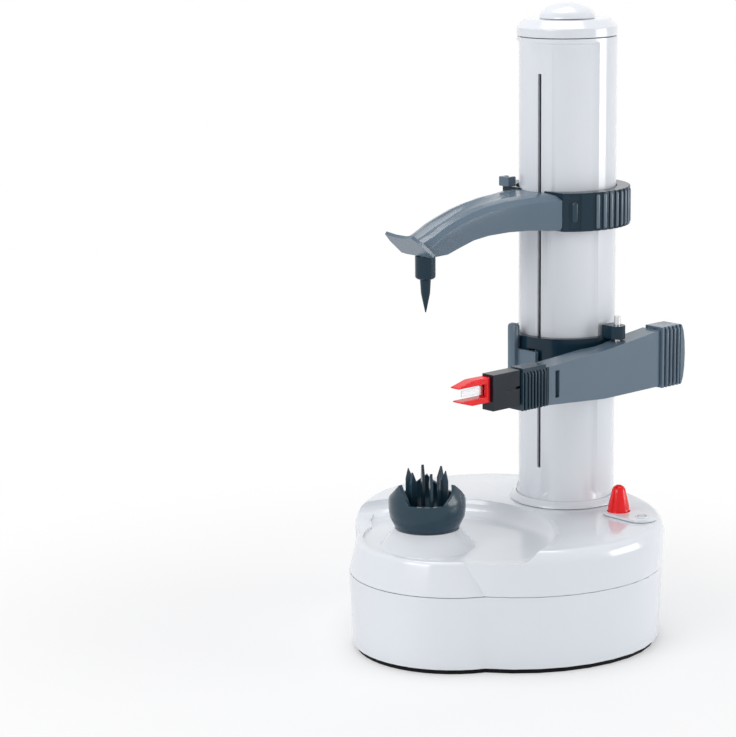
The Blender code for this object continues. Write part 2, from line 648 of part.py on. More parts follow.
def front_plate(name, outline, back_y, front_y, look=None):
    """A plate from an XZ outline, as thick as the two Y values are apart."""
    made = sheet_outline(name, [[(x, z) for x, z in outline]], front_y, back_y, look)
    made.data.transform(Matrix(((1, 0, 0, 0), (0, 0, 1, 0), (0, 1, 0, 0), (0, 0, 0, 1))))
    made.data.flip_normals()
    return made


def lofted(name, rings, look=None):
    """Join equal rings of points, one after another, and close both ends."""
    mesh = bpy.data.meshes.new(name)
    shape = bmesh.new()
    rows = [[shape.verts.new(point) for point in ring] for ring in rings]
    count = len(rows[0])
    for lower, upper in zip(rows, rows[1:]):
        for i in range(count):
            j = (i + 1) % count
            shape.faces.new((lower[i], lower[j], upper[j], upper[i]))
    shape.faces.new(list(reversed(rows[0])))
    shape.faces.new(rows[-1])
    bmesh.ops.recalc_face_normals(shape, faces=shape.faces)
    shape.to_mesh(mesh)
    shape.free()
    shade(mesh)
    return SHOP.place(name, mesh, look)


def combine(target, tool, operation):
    """One exact Boolean step."""
    step = target.modifiers.new(operation.lower() + "_" + tool.name, "BOOLEAN")
    step.operation = operation
    step.object = tool
    step.solver = "EXACT"
    return target


def cut(target, *tools):
    """Take each tool away from the target."""
    for tool in tools:
        combine(target, tool, "DIFFERENCE")
    return target


def join(target, *tools):
    """Add each tool to the target."""
    for tool in tools:
        combine(target, tool, "UNION")
    return target


def arc(centre_x, centre_y, radius_x, radius_y, start_deg, end_deg, steps):
    """Points along an elliptical arc, both ends included."""
    points = []
    for i in range(steps + 1):
        angle = (start_deg + (end_deg - start_deg) * i / steps) * DEG
        points.append((centre_x + radius_x * math.cos(angle), centre_y + radius_y * math.sin(angle)))
    return points


def circle(centre_x, centre_y, radius, sides):
    """A closed circle of points."""
    return arc(centre_x, centre_y, radius, radius, 0.0, 360.0 * (sides - 1) / sides, sides - 1)


def squashed(x, y):
    """A point of the right lobe, drawn toward the lobe's centre on the column's side."""
    if x > RIGHT_LOBE_X:
        return (RIGHT_LOBE_X + (x - RIGHT_LOBE_X) * RIGHT_LOBE_SQUASH_SHARE, y)
    return (x, y)


def lobed_outline(inset, left_steps=18, right_steps=30):
    """The base's plan: two circles' outer arcs, both drawn in by an inset."""
    left = LEFT_LOBE_RADIUS - inset
    right = RIGHT_LOBE_RADIUS - inset
    apart = RIGHT_LOBE_X - LEFT_LOBE_X
    cross = (apart * apart + left * left - right * right) / (2.0 * apart)
    left_deg = math.acos(cross / left) / DEG
    right_deg = math.acos((cross - apart) / right) / DEG
    points = [squashed(x, y) for x, y in arc(RIGHT_LOBE_X, 0.0, right, right, -right_deg,
                                             right_deg, right_steps)]
    points += arc(LEFT_LOBE_X, 0.0, left, left, left_deg, 360.0 - left_deg, left_steps)[1:-1]
    return points


def at_height(outline, height):
    """Lift a plan outline to a height."""
    return [(x, y, height) for x, y in outline]


def gear_outline(teeth, module, first_tooth, centre):
    """Closed outline of a spur gear with straight tooth flanks."""
    pitch_radius = teeth * module / 2.0
    tip = pitch_radius + TOOTH_TIP_SHARE * module
    root = pitch_radius - TOOTH_ROOT_SHARE * module
    step = FULL_TURN / teeth
    corners = ((root, -TOOTH_ROOT_HALF_SHARE), (tip, -TOOTH_TIP_HALF_SHARE),
               (tip, TOOTH_TIP_HALF_SHARE), (root, TOOTH_ROOT_HALF_SHARE))
    points = []
    for tooth in range(teeth):
        for radius, share in corners:
            angle = first_tooth + (tooth + share) * step
            points.append((centre[0] + radius * math.cos(angle),
                           centre[1] + radius * math.sin(angle)))
    return points


def meshed_tooth(tooth_angle, teeth, next_teeth, line_deg):
    """Angle of a tooth of the next gear that leaves the pair in mesh.

    line_deg is the bearing from the first gear's centre to the next one's.
    """
    line = line_deg * DEG
    return line + math.pi - (tooth_angle - line) * teeth / next_teeth - math.pi / next_teeth


def gear(name, teeth, module, first_tooth, centre, bottom, top, bore, look=None):
    """A spur gear with a plain bore."""
    outlines = [gear_outline(teeth, module, first_tooth, centre)]
    if bore:
        outlines.append(circle(centre[0], centre[1], bore, PIN_SIDES))
    return sheet_outline(name, outlines, bottom, top, look)


def left_form(name, inset):
    """Solid of the left lobe, drawn in by an inset, that runs on below the parting line."""
    radius = LEFT_LOBE_RADIUS - inset
    top = LEFT_TOP_HEIGHT - inset
    bottom = PARTING_HEIGHT - OVERRUN
    top_radius = radius - LEFT_TOP_INSET
    crown = arc(top_radius - LEFT_EDGE_ROUND, top - LEFT_EDGE_ROUND, LEFT_EDGE_ROUND,
                LEFT_EDGE_ROUND, 90.0, 0.0, 3)
    profile = [(0.0, top)] + crown + [(radius, bottom), (0.0, bottom)]
    return turned(name, profile, sides=FINE_SIDES, at=(LEFT_LOBE_X, 0.0))


def right_profile(inset):
    """Outer profile of the right lobe, which runs on below the parting line."""
    radius = RIGHT_LOBE_RADIUS - inset
    top = RIGHT_TOP_HEIGHT - inset
    bottom = PARTING_HEIGHT - 2.0 * OVERRUN
    widest = radius + RIGHT_BULGE
    shoulder = arc(widest - RIGHT_SHOULDER_INSET, top - RIGHT_SHOULDER_HEIGHT,
                   RIGHT_SHOULDER_INSET, RIGHT_SHOULDER_HEIGHT, 90.0, 0.0, 6)
    return shoulder + [(radius, bottom)]


def right_form(name, inset, phase_share=0.0, look=None):
    """Solid of the right lobe, drawn in by an inset."""
    rings = []
    for radius, height in right_profile(inset):
        ring = []
        for i in range(FINE_SIDES):
            x, y = polar(RIGHT_LOBE_X, 0.0, radius, 360.0 * (i + phase_share) / FINE_SIDES)
            ring.append((*squashed(x, y), height))
        rings.append(ring)
    return lofted(name, rings, look)


def tray_profile(drop):
    """Profile of the tray's wall, from above the right lobe's top down to a level."""
    wall_top = RIGHT_TOP_HEIGHT - drop
    floor = TRAY_FLOOR_HEIGHT - drop
    curve = arc(TRAY_FLOOR_RADIUS + drop, wall_top, TRAY_TOP_RADIUS - TRAY_FLOOR_RADIUS,
                wall_top - floor, 0.0, -90.0, 6)
    return curve, floor


def base_upper_shell():
    """The white top half: two lobes, the tray, the cone under the cup and every hole."""
    shell = right_form("base_upper_shell", 0.0, 0.0, WHITE_PLASTIC)
    join(shell, left_form("shell_left_lobe", 0.0))
    reach = RIGHT_LOBE_X + 2.0 * RIGHT_LOBE_RADIUS
    cut(shell, block("below_parting", (-reach, -reach, 0.0),
                     (reach, reach, PARTING_HEIGHT + SEAT_GAP / 2.0)))

    curve, floor = tray_profile(0.0)
    above = RIGHT_TOP_HEIGHT + OVERRUN
    tray = turned("tray_cutter", [(0.0, above), (TRAY_TOP_RADIUS, above)] + curve
                  + [(0.0, floor)], sides=FINE_SIDES)
    rim = lobed_outline(LEFT_TOP_INSET + TRAY_LIP + LEFT_EDGE_ROUND / 2.0)
    limit = lofted("tray_limit", [at_height(rim, floor - OVERRUN),
                                  at_height(rim, LEFT_TOP_HEIGHT + OVERRUN)])
    join(limit, block("above_left_lobe", (-reach, -reach, LEFT_TOP_HEIGHT),
                      (reach, reach, above + OVERRUN)))
    combine(tray, limit, "INTERSECT")
    cut(shell, tray)

    cone = turned("drip_cone", [(0.0, CONE_TOP_HEIGHT), (CONE_TOP_RADIUS, CONE_TOP_HEIGHT),
                                (CONE_FOOT_RADIUS, TRAY_FLOOR_HEIGHT),
                                (CONE_FOOT_RADIUS, TRAY_FLOOR_HEIGHT - SHELL_WALL / 2.0),
                                (0.0, TRAY_FLOOR_HEIGHT - SHELL_WALL / 2.0)], sides=SIDES)
    join(shell, cone)

    hollow = right_form("shell_hollow", SHELL_WALL, TOOL_PHASE_SHARE)
    join(hollow, left_form("hollow_left_lobe", SHELL_WALL))
    inner_curve, inner_floor = tray_profile(SHELL_WALL)
    kept = turned("tray_underside", [(0.0, above), (TRAY_TOP_RADIUS + SHELL_WALL, above)]
                  + inner_curve + [(0.0, inner_floor)], sides=SIDES)
    cut(hollow, kept)

    bush_bore = SPINDLE_RADIUS + BUSH_WALL + SEAT_GAP
    join(hollow,
        rod("bush_hole", bush_bore, LEFT_CEILING - OVERRUN, CONE_TOP_HEIGHT + OVERRUN,
            sides=SMALL_SIDES),
        rod("column_hole", COLUMN_RADIUS + SEAT_GAP, RIGHT_CEILING - OVERRUN,
            RIGHT_TOP_HEIGHT + OVERRUN, sides=FINE_SIDES, at=(COLUMN_X, 0.0)),
        rod("button_hole", BUTTON_RADIUS + BUTTON_CLEARANCE, RIGHT_CEILING - OVERRUN,
            RIGHT_TOP_HEIGHT + OVERRUN, sides=SMALL_SIDES, at=(BUTTON_X, BUTTON_Y)),
        rod("lens_hole", LENS_RADIUS + SEAT_GAP, RIGHT_CEILING - OVERRUN,
            RIGHT_TOP_HEIGHT + OVERRUN, sides=PIN_SIDES, at=(BUTTON_X, BUTTON_Y + LENS_OFFSET_Y)))
    cut(shell, hollow)


def screwed_posts():
    """Plan positions of the two posts that take the frame's screws."""
    return [(FRAME_POST_RIGHT_X, FRAME_POST_RIGHT_Y), (FRAME_POST_RIGHT_X, -FRAME_POST_RIGHT_Y)]


def pegged_posts():
    """Plan positions of the two posts whose pegs locate the frame."""
    return [(FRAME_POST_LEFT_X, FRAME_POST_LEFT_Y), (FRAME_POST_LEFT_X, -FRAME_POST_LEFT_Y)]


def base_lower_shell():
    """The white bottom half, with the battery opening and four posts."""
    top = PARTING_HEIGHT - SEAT_GAP / 2.0
    shell = lofted("base_lower_shell", [
        at_height(lobed_outline(LOWER_SHELL_DRAFT), SHELL_BOTTOM),
        at_height(lobed_outline(0.0), top),
        at_height(lobed_outline(SHELL_WALL), top),
        at_height(lobed_outline(SHELL_WALL + LOWER_SHELL_DRAFT), FLOOR_TOP)], WHITE_PLASTIC)
    foot = FLOOR_TOP - SHELL_WALL / 2.0
    post_top = LOWER_PLATE_BOTTOM - SEAT_GAP
    for i, post in enumerate(screwed_posts() + pegged_posts()):
        join(shell, rod("shell_post_%d" % i, FRAME_POST_RADIUS + SCREW_SHANK_RADIUS, foot,
                        post_top, at=post))
    for i, post in enumerate(pegged_posts()):
        join(shell, rod("shell_peg_%d" % i, SCREW_SHANK_RADIUS, foot,
                        LOWER_PLATE_TOP + FRAME_PLATE, at=post))
    for i, post in enumerate(screwed_posts()):
        cut(shell,
            rod("post_bore_%d" % i, SCREW_SHANK_RADIUS + SEAT_GAP, SHELL_BOTTOM - OVERRUN,
                LOWER_PLATE_BOTTOM + OVERRUN, at=post),
            rod("post_sink_%d" % i, SCREW_HEAD_RADIUS + SEAT_GAP, SHELL_BOTTOM - OVERRUN,
                SHELL_BOTTOM + SCREW_HEAD_HEIGHT + SEAT_GAP, at=post))
    cut(shell, lying_rod("inlet_hole", INLET_RADIUS + SEAT_GAP,
                         (INLET_FACE_X - INLET_LENGTH, 0.0, INLET_HEIGHT), (1.0, 0.0, 0.0),
                         2.0 * INLET_LENGTH, sides=SMALL_SIDES))
    cut(shell, block("battery_opening",
                     (BATTERY_X - TRAY_WIDTH_OUTSIDE / 2.0 - SEAT_GAP,
                      -TRAY_LENGTH_OUTSIDE / 2.0 - SEAT_GAP, SHELL_BOTTOM - OVERRUN),
                     (BATTERY_X + TRAY_WIDTH_OUTSIDE / 2.0 + SEAT_GAP,
                      TRAY_LENGTH_OUTSIDE / 2.0 + SEAT_GAP, FLOOR_TOP + OVERRUN)))


def rectangle(centre_x, width, length):
    """A closed rectangle centred on the symmetry plane."""
    return [(centre_x - width / 2.0, -length / 2.0), (centre_x + width / 2.0, -length / 2.0),
            (centre_x + width / 2.0, length / 2.0), (centre_x - width / 2.0, length / 2.0)]


def bottom_pad_and_door():
    """The black pad, the door that lies flush in it, and the door's screw."""
    sheet_outline("bottom_pad", [lobed_outline(LOWER_SHELL_DRAFT + PAD_INSET),
                                 rectangle(BATTERY_X, DOOR_WIDTH + 2.0 * SEAT_GAP,
                                           DOOR_LENGTH + 2.0 * SEAT_GAP)],
                  0.0, PAD_THICKNESS, BLACK_RUBBER)
    screw_at = (BATTERY_X + DOOR_WIDTH / 2.0 - DOOR_BORDER - SCREW_HEAD_RADIUS, 0.0)
    door_low = SEAT_GAP
    sheet_outline("battery_door", [rectangle(BATTERY_X, DOOR_WIDTH, DOOR_LENGTH),
                                   circle(*screw_at, SCREW_HEAD_RADIUS + SEAT_GAP, PIN_SIDES)],
                  door_low, PAD_THICKNESS, BLACK_PLASTIC)
    rod("battery_door_screw", SCREW_HEAD_RADIUS, door_low, PAD_THICKNESS, STEEL,
        at=screw_at)


def battery_pack():
    """The tray, four cells side by side and the contact strips at their ends."""
    half_width = TRAY_WIDTH_OUTSIDE / 2.0
    half_length = TRAY_LENGTH_OUTSIDE / 2.0
    tray = block("battery_tray", (BATTERY_X - half_width, -half_length, SHELL_BOTTOM),
                 (BATTERY_X + half_width, half_length, BATTERY_TOP), INNER_WHITE)
    cut(tray, block("tray_inside",
                    (BATTERY_X - half_width + TRAY_WALL, -half_length + TRAY_WALL,
                     SHELL_BOTTOM - OVERRUN),
                    (BATTERY_X + half_width - TRAY_WALL, half_length - TRAY_WALL, BATTERY_ROOF)))
    spacing = 2.0 * (CELL_RADIUS + CELL_CLEARANCE)
    first_x = BATTERY_X - (spacing * (CELL_COUNT - 1) + CONTACT_RAIL) / 2.0
    axis_height = BATTERY_ROOF - CELL_CLEARANCE - CELL_RADIUS
    for i in range(CELL_COUNT):
        facing = 1.0 if i % 2 == 0 else -1.0
        start = (first_x + i * spacing, -facing * (CELL_LENGTH + CELL_TIP_LENGTH) / 2.0, axis_height)
        cell = lying_rod("battery_cell_%d" % (i + 1), CELL_RADIUS, start, (0.0, facing, 0.0),
                         CELL_LENGTH, CELL_WRAP, SMALL_SIDES)
        join(cell, lying_rod("cell_tip_%d" % i, CELL_TIP_RADIUS,
                             (start[0], start[1] + facing * (CELL_LENGTH - OVERRUN), axis_height),
                             (0.0, facing, 0.0), CELL_TIP_LENGTH + OVERRUN))
    half = TRAY_WIDTH_INSIDE / 2.0 - SEAT_GAP
    outer = TRAY_LENGTH_INSIDE / 2.0 - SEAT_GAP
    inner = outer - CONTACT_THICKNESS
    left = BATTERY_X - half
    right = BATTERY_X + half
    rail = right - CONTACT_THICKNESS
    sheet_outline("battery_contacts", [[
        (left, -outer), (right, -outer), (right, outer), (left, outer), (left, inner),
        (rail, inner), (rail, -inner), (left, -inner)]], axis_height - CONTACT_HEIGHT / 2.0,
        axis_height + CONTACT_HEIGHT / 2.0, STEEL)


def gear_frame():
    """Two plates that hold the gear train, the lower one with the spacers."""
    axles = [(TRANSFER_X, 0.0), (SECOND_X, SECOND_Y), (FIRST_X, FIRST_Y)]
    lower_holes = [circle(x, y, AXLE_BORE, PIN_SIDES) for x, y in axles]
    lower_holes += [circle(x, y, SCREW_SHANK_RADIUS + SEAT_GAP, PIN_SIDES)
                    for x, y in screwed_posts() + pegged_posts()]
    lower_holes.append(circle(0.0, 0.0, SPINDLE_RADIUS + SEAT_GAP, PIN_SIDES))
    lower_holes.append(circle(SCREW_X, 0.0, SCREW_JOURNAL_RADIUS + SEAT_GAP, PIN_SIDES))
    outline = lobed_outline(FRAME_INSET, 9, 15)
    lower = sheet_outline("gear_frame_lower", [outline] + lower_holes, LOWER_PLATE_BOTTOM,
                          LOWER_PLATE_TOP, STEEL)
    for i, at in enumerate(screwed_posts() + pegged_posts()):
        bore = SCREW_SHANK_RADIUS + SEAT_GAP
        foot = LOWER_PLATE_TOP - FRAME_PLATE / 2.0
        join(lower, turned("spacer_%d" % i, [
            (FRAME_POST_RADIUS, UPPER_PLATE_BOTTOM - SEAT_GAP), (FRAME_POST_RADIUS, foot),
            (bore, foot), (bore, UPPER_PLATE_BOTTOM - SEAT_GAP)], sides=PIN_SIDES, at=at))
    for at, name in zip(screwed_posts(), ("frame_screw_far", "frame_screw_near")):
        head = rod(name, SCREW_HEAD_RADIUS, SHELL_BOTTOM, SHELL_BOTTOM + SCREW_HEAD_HEIGHT,
                   STEEL, at=at)
        join(head, rod(name + "_shank", SCREW_SHANK_RADIUS,
                       SHELL_BOTTOM + SCREW_HEAD_HEIGHT / 2.0, UPPER_PLATE_TOP, at=at))
    upper_holes = lower_holes + [circle(MOTOR_X, MOTOR_Y, MOTOR_RADIUS + SEAT_GAP, SMALL_SIDES)]
    sheet_outline("gear_frame_upper", [outline] + upper_holes, UPPER_PLATE_BOTTOM,
                  UPPER_PLATE_TOP, STEEL)


def gear_train():
    """Motor, two compound gears, the transfer gear and the two output gears, all in mesh."""
    turntable_tooth = 0.0
    transfer_tooth = meshed_tooth(turntable_tooth, TURNTABLE_TEETH, TRANSFER_TEETH, 0.0)
    screw_tooth = meshed_tooth(transfer_tooth, TRANSFER_TEETH, TURNTABLE_TEETH, 0.0)
    second_tooth = meshed_tooth(transfer_tooth, TRANSFER_TEETH, SECOND_PINION_TEETH,
                                SECOND_GEAR_BEARING_DEG)
    first_tooth = meshed_tooth(second_tooth, SECOND_WHEEL_TEETH, FIRST_PINION_TEETH,
                               FIRST_GEAR_BEARING_DEG)
    motor_tooth = meshed_tooth(first_tooth, FIRST_WHEEL_TEETH, MOTOR_TEETH, MOTOR_BEARING_DEG)

    gear("turntable_gear", TURNTABLE_TEETH, MODULE_OUTPUT, turntable_tooth, (0.0, 0.0),
         OUTPUT_LAYER_BOTTOM, OUTPUT_LAYER_TOP, SPINDLE_RADIUS + SEAT_GAP, GEAR_NYLON)
    gear("transfer_gear", TRANSFER_TEETH, MODULE_OUTPUT, transfer_tooth, (TRANSFER_X, 0.0),
         OUTPUT_LAYER_BOTTOM, OUTPUT_LAYER_TOP, AXLE_BORE, GEAR_NYLON)
    gear("screw_gear", TURNTABLE_TEETH, MODULE_OUTPUT, screw_tooth, (SCREW_X, 0.0),
         OUTPUT_LAYER_BOTTOM, OUTPUT_LAYER_TOP, SCREW_JOURNAL_RADIUS + SEAT_GAP, GEAR_NYLON)

    second = gear("reduction_gear_2", SECOND_WHEEL_TEETH, MODULE_MIDDLE, second_tooth,
                  (SECOND_X, SECOND_Y), MIDDLE_LAYER_BOTTOM, MIDDLE_LAYER_BOTTOM + MIDDLE_LAYER,
                  0.0, GEAR_NYLON)
    join(second, gear("second_pinion", SECOND_PINION_TEETH, MODULE_OUTPUT, second_tooth,
                      (SECOND_X, SECOND_Y), MIDDLE_LAYER_BOTTOM + MIDDLE_LAYER / 2.0,
                      OUTPUT_LAYER_TOP, 0.0))
    cut(second, rod("second_bore", AXLE_BORE, MIDDLE_LAYER_BOTTOM - OVERRUN,
                    OUTPUT_LAYER_TOP + OVERRUN, at=(SECOND_X, SECOND_Y)))

    first = gear("reduction_gear_1", FIRST_WHEEL_TEETH, MODULE_MOTOR, first_tooth,
                 (FIRST_X, FIRST_Y), MOTOR_LAYER_BOTTOM, MOTOR_LAYER_BOTTOM + MOTOR_LAYER,
                 0.0, GEAR_NYLON)
    first_top = MIDDLE_LAYER_BOTTOM + MIDDLE_LAYER
    join(first, gear("first_pinion", FIRST_PINION_TEETH, MODULE_MIDDLE, first_tooth,
                     (FIRST_X, FIRST_Y), MOTOR_LAYER_BOTTOM + MOTOR_LAYER / 2.0, first_top, 0.0))
    cut(first, rod("first_bore", AXLE_BORE, MOTOR_LAYER_BOTTOM - OVERRUN, first_top + OVERRUN,
                   at=(FIRST_X, FIRST_Y)))

    can_bottom = MOTOR_LAYER_BOTTOM + MOTOR_LAYER + LAYER_GAP
    can = rod("motor_can", MOTOR_RADIUS, can_bottom, can_bottom + MOTOR_LENGTH, STEEL,
              SMALL_SIDES, (MOTOR_X, MOTOR_Y))
    cut(can, rod("shaft_bore", MOTOR_SHAFT_RADIUS + SEAT_GAP, can_bottom - OVERRUN,
                 can_bottom + MOTOR_SHAFT_REACH + SEAT_GAP, at=(MOTOR_X, MOTOR_Y)))
    pinion = gear("motor_pinion", MOTOR_TEETH, MODULE_MOTOR, motor_tooth, (MOTOR_X, MOTOR_Y),
                  MOTOR_LAYER_BOTTOM, MOTOR_LAYER_BOTTOM + MOTOR_LAYER, 0.0, STEEL)
    join(pinion, rod("motor_shaft", MOTOR_SHAFT_RADIUS, MOTOR_LAYER_BOTTOM + MOTOR_LAYER / 2.0,
                     can_bottom + MOTOR_SHAFT_REACH, at=(MOTOR_X, MOTOR_Y)))

    for name, x, y in (("transfer_axle", TRANSFER_X, 0.0), ("reduction_axle_2", SECOND_X, SECOND_Y),
                       ("reduction_axle_1", FIRST_X, FIRST_Y)):
        rod(name, AXLE_RADIUS, LOWER_PLATE_BOTTOM, UPPER_PLATE_TOP, STEEL, at=(x, y))


def turntable():
    """Spindle, its bush in the cone, and the pronged cup that turns the food."""
    rod("turntable_spindle", SPINDLE_RADIUS, LOWER_PLATE_BOTTOM, SPINDLE_TOP_HEIGHT, STEEL)
    bush_radius = SPINDLE_RADIUS + BUSH_WALL
    bush_top = CONE_TOP_HEIGHT - SEAT_GAP
    turned("turntable_bush", [
        (bush_radius, bush_top), (bush_radius, LEFT_CEILING - SEAT_GAP),
        (bush_radius + BUSH_FLANGE, LEFT_CEILING - SEAT_GAP),
        (bush_radius + BUSH_FLANGE, LEFT_CEILING - SEAT_GAP - BUSH_FLANGE_THICKNESS),
        (SPINDLE_RADIUS + SEAT_GAP, LEFT_CEILING - SEAT_GAP - BUSH_FLANGE_THICKNESS),
        (SPINDLE_RADIUS + SEAT_GAP, bush_top)], GEAR_NYLON, SMALL_SIDES)

    floor = CUP_BOTTOM_HEIGHT + CUP_FLOOR
    belly = CUP_BOTTOM_HEIGHT + (CUP_RIM_HEIGHT - CUP_BOTTOM_HEIGHT) / 2.0
    crown_top = CUP_RIM_HEIGHT + CROWN_HEIGHT
    hub_top = CUP_BOTTOM_HEIGHT + CUP_HUB_HEIGHT + CUP_WALL
    socket_top = SPINDLE_TOP_HEIGHT + SEAT_GAP
    cup = turned("fruit_cup", [
        (0.0, hub_top), (CUP_HUB_RADIUS, hub_top), (CUP_HUB_RADIUS, floor),
        (CUP_FOOT_RADIUS - CUP_WALL, floor), (CUP_RIM_RADIUS - CUP_WALL, belly + CUP_WALL),
        (CUP_RIM_RADIUS - CUP_WALL, CUP_RIM_HEIGHT), (CROWN_TIP_RADIUS - CUP_WALL, crown_top),
        (CROWN_TIP_RADIUS, crown_top), (CUP_RIM_RADIUS - CUP_WALL / 4.0, CUP_RIM_HEIGHT + CUP_WALL),
        (CUP_RIM_RADIUS, CUP_RIM_HEIGHT), (CUP_RIM_RADIUS, belly + CUP_WALL),
        (CUP_RIM_RADIUS - CUP_WALL / 3.0, belly - CUP_WALL),
        (CUP_FOOT_RADIUS + CUP_WALL / 2.0, CUP_BOTTOM_HEIGHT + CUP_WALL),
        (CUP_FOOT_RADIUS, CUP_BOTTOM_HEIGHT), (0.0, CUP_BOTTOM_HEIGHT)], DARK_SLATE, SIDES)
    gap_deg = 360.0 / CROWN_TEETH
    for i in range(CROWN_TEETH):
        tooth = CROWN_FIRST_DEG + i * gap_deg
        cut(cup, crown_gap("crown_gap_%d" % i, tooth, tooth + gap_deg, crown_top))
    cut(cup, rod("cup_socket", SPINDLE_RADIUS + SEAT_GAP, CUP_BOTTOM_HEIGHT - OVERRUN,
                 socket_top))
    prong_insert(floor)


def crown_gap(name, start_deg, end_deg, crown_top):
    """Cutter between the points of two neighbouring crown teeth, flat at the rim."""
    reach = CUP_RIM_RADIUS + CUP_WALL
    inner = CROWN_TIP_RADIUS - 3.0 * CUP_WALL
    foot = CUP_RIM_HEIGHT + CUP_WALL / 8.0
    top = crown_top + OVERRUN
    half = CROWN_TOOTH_DEG / 2.0
    stations = ((start_deg, top - OVERRUN, top), (start_deg + half, foot, top))
    middle = (start_deg + end_deg) / 2.0
    stations += ((middle, foot, top), (end_deg - half, foot, top), (end_deg, top - OVERRUN, top))
    rings = []
    for degrees, low, high in stations:
        near = polar(0.0, 0.0, inner, degrees)
        far = polar(0.0, 0.0, reach, degrees)
        rings.append([(*near, low), (*far, low), (*far, high), (*near, high)])
    return lofted(name, rings)


def prong_insert(floor):
    """A ring of thin pointed prongs round the cup's hub."""
    bottom = floor + SEAT_GAP
    top = bottom + PRONG_HUB_THICKNESS
    inner = CUP_HUB_RADIUS + SEAT_GAP
    hub = turned("prong_insert", [(inner + PRONG_HUB_WIDTH, top), (inner + PRONG_HUB_WIDTH, bottom),
                                  (inner, bottom), (inner, top)], DARK_SLATE, PRONG_COUNT * 4)
    for i in range(PRONG_COUNT):
        degrees = 360.0 * i / PRONG_COUNT
        shoulder = bottom + PRONG_HEIGHT - PRONG_POINT_HEIGHT
        low_x = PRONG_RING_RADIUS - PRONG_WIDTH / 2.0
        high_x = PRONG_RING_RADIUS + PRONG_WIDTH / 2.0
        foot = bottom + PRONG_HUB_THICKNESS / 2.0
        outline = [(low_x, foot), (high_x, foot), (high_x, shoulder),
                   (high_x - PRONG_WIDTH / 3.0, bottom + PRONG_HEIGHT), (low_x, shoulder)]
        blade = front_plate("prong_%d" % i, outline, PRONG_THICKNESS / 2.0, -PRONG_THICKNESS / 2.0)
        blade.rotation_euler = (0.0, 0.0, degrees * DEG)
        join(hub, blade)


def column():
    """The white tube with its slot and panels, its foot ring, cap and dome."""
    flange_top = RIGHT_CEILING - SEAT_GAP
    flange_radius = COLUMN_RADIUS + COLUMN_FLANGE_WIDTH
    tube = turned("column_tube", [
        (COLUMN_RADIUS, COLUMN_TOP_HEIGHT), (COLUMN_RADIUS, flange_top),
        (flange_radius, flange_top), (flange_radius, flange_top - COLUMN_FLANGE_THICKNESS),
        (COLUMN_RADIUS, flange_top - COLUMN_FLANGE_THICKNESS), (COLUMN_RADIUS, COLUMN_BOTTOM),
        (COLUMN_BORE, COLUMN_BOTTOM), (COLUMN_BORE, COLUMN_TOP_HEIGHT)], WHITE_PLASTIC,
        FINE_SIDES, (COLUMN_X, 0.0))
    for side, name in ((1.0, "panel_near"), (-1.0, "panel_far")):
        cut(tube, panel_cutter(name, side))
    cut(tube, block("guide_slot", (COLUMN_X - COLUMN_RADIUS - OVERRUN, SLOT_OFFSET_Y
                                   - SLOT_WIDTH / 2.0, SLOT_BOTTOM_HEIGHT),
                    (COLUMN_X - COLUMN_BORE / 2.0, SLOT_OFFSET_Y + SLOT_WIDTH / 2.0,
                     COLUMN_TOP_HEIGHT - SLOT_TOP_MARGIN)))

    foot_bottom = RIGHT_TOP_HEIGHT + SEAT_GAP
    foot_bore = COLUMN_RADIUS + SEAT_GAP
    turned("column_foot_ring", [
        (foot_bore + FOOT_RING_WIDTH / 3.0, foot_bottom + FOOT_RING_HEIGHT),
        (foot_bore + FOOT_RING_WIDTH * FOOT_RING_KNEE_SHARE, foot_bottom + FOOT_RING_HEIGHT / 2.0),
        (foot_bore + FOOT_RING_WIDTH, foot_bottom), (foot_bore, foot_bottom),
        (foot_bore, foot_bottom + FOOT_RING_HEIGHT)], WHITE_PLASTIC, SIDES, (COLUMN_X, 0.0))

    shoulder = CAP_BOTTOM + CAP_SHOULDER_RISE
    stem_bore = DOME_STEM_RADIUS + SEAT_GAP
    turned("column_cap", [
        (CAP_TOP_RADIUS, CAP_TOP), (COLUMN_RADIUS, shoulder), (COLUMN_RADIUS, CAP_BOTTOM),
        (COLUMN_RADIUS - CAP_WALL, CAP_BOTTOM), (COLUMN_RADIUS - CAP_WALL, shoulder - CAP_WALL),
        (CAP_TOP_RADIUS - CAP_WALL, CAP_TOP - CAP_WALL), (stem_bore, CAP_TOP - CAP_WALL),
        (stem_bore, CAP_TOP)], WHITE_PLASTIC, SIDES, (COLUMN_X, 0.0))
    dome_bottom = CAP_TOP + SEAT_GAP
    dome = arc(0.0, dome_bottom, DOME_RADIUS, DOME_RISE, 90.0, 0.0, 7)
    stem_bottom = CAP_TOP - CAP_WALL
    turned("cap_dome", dome + [(DOME_STEM_RADIUS, dome_bottom), (DOME_STEM_RADIUS, stem_bottom),
                               (0.0, stem_bottom)], WHITE_PLASTIC, SMALL_SIDES + PIN_SIDES,
           (COLUMN_X, 0.0))


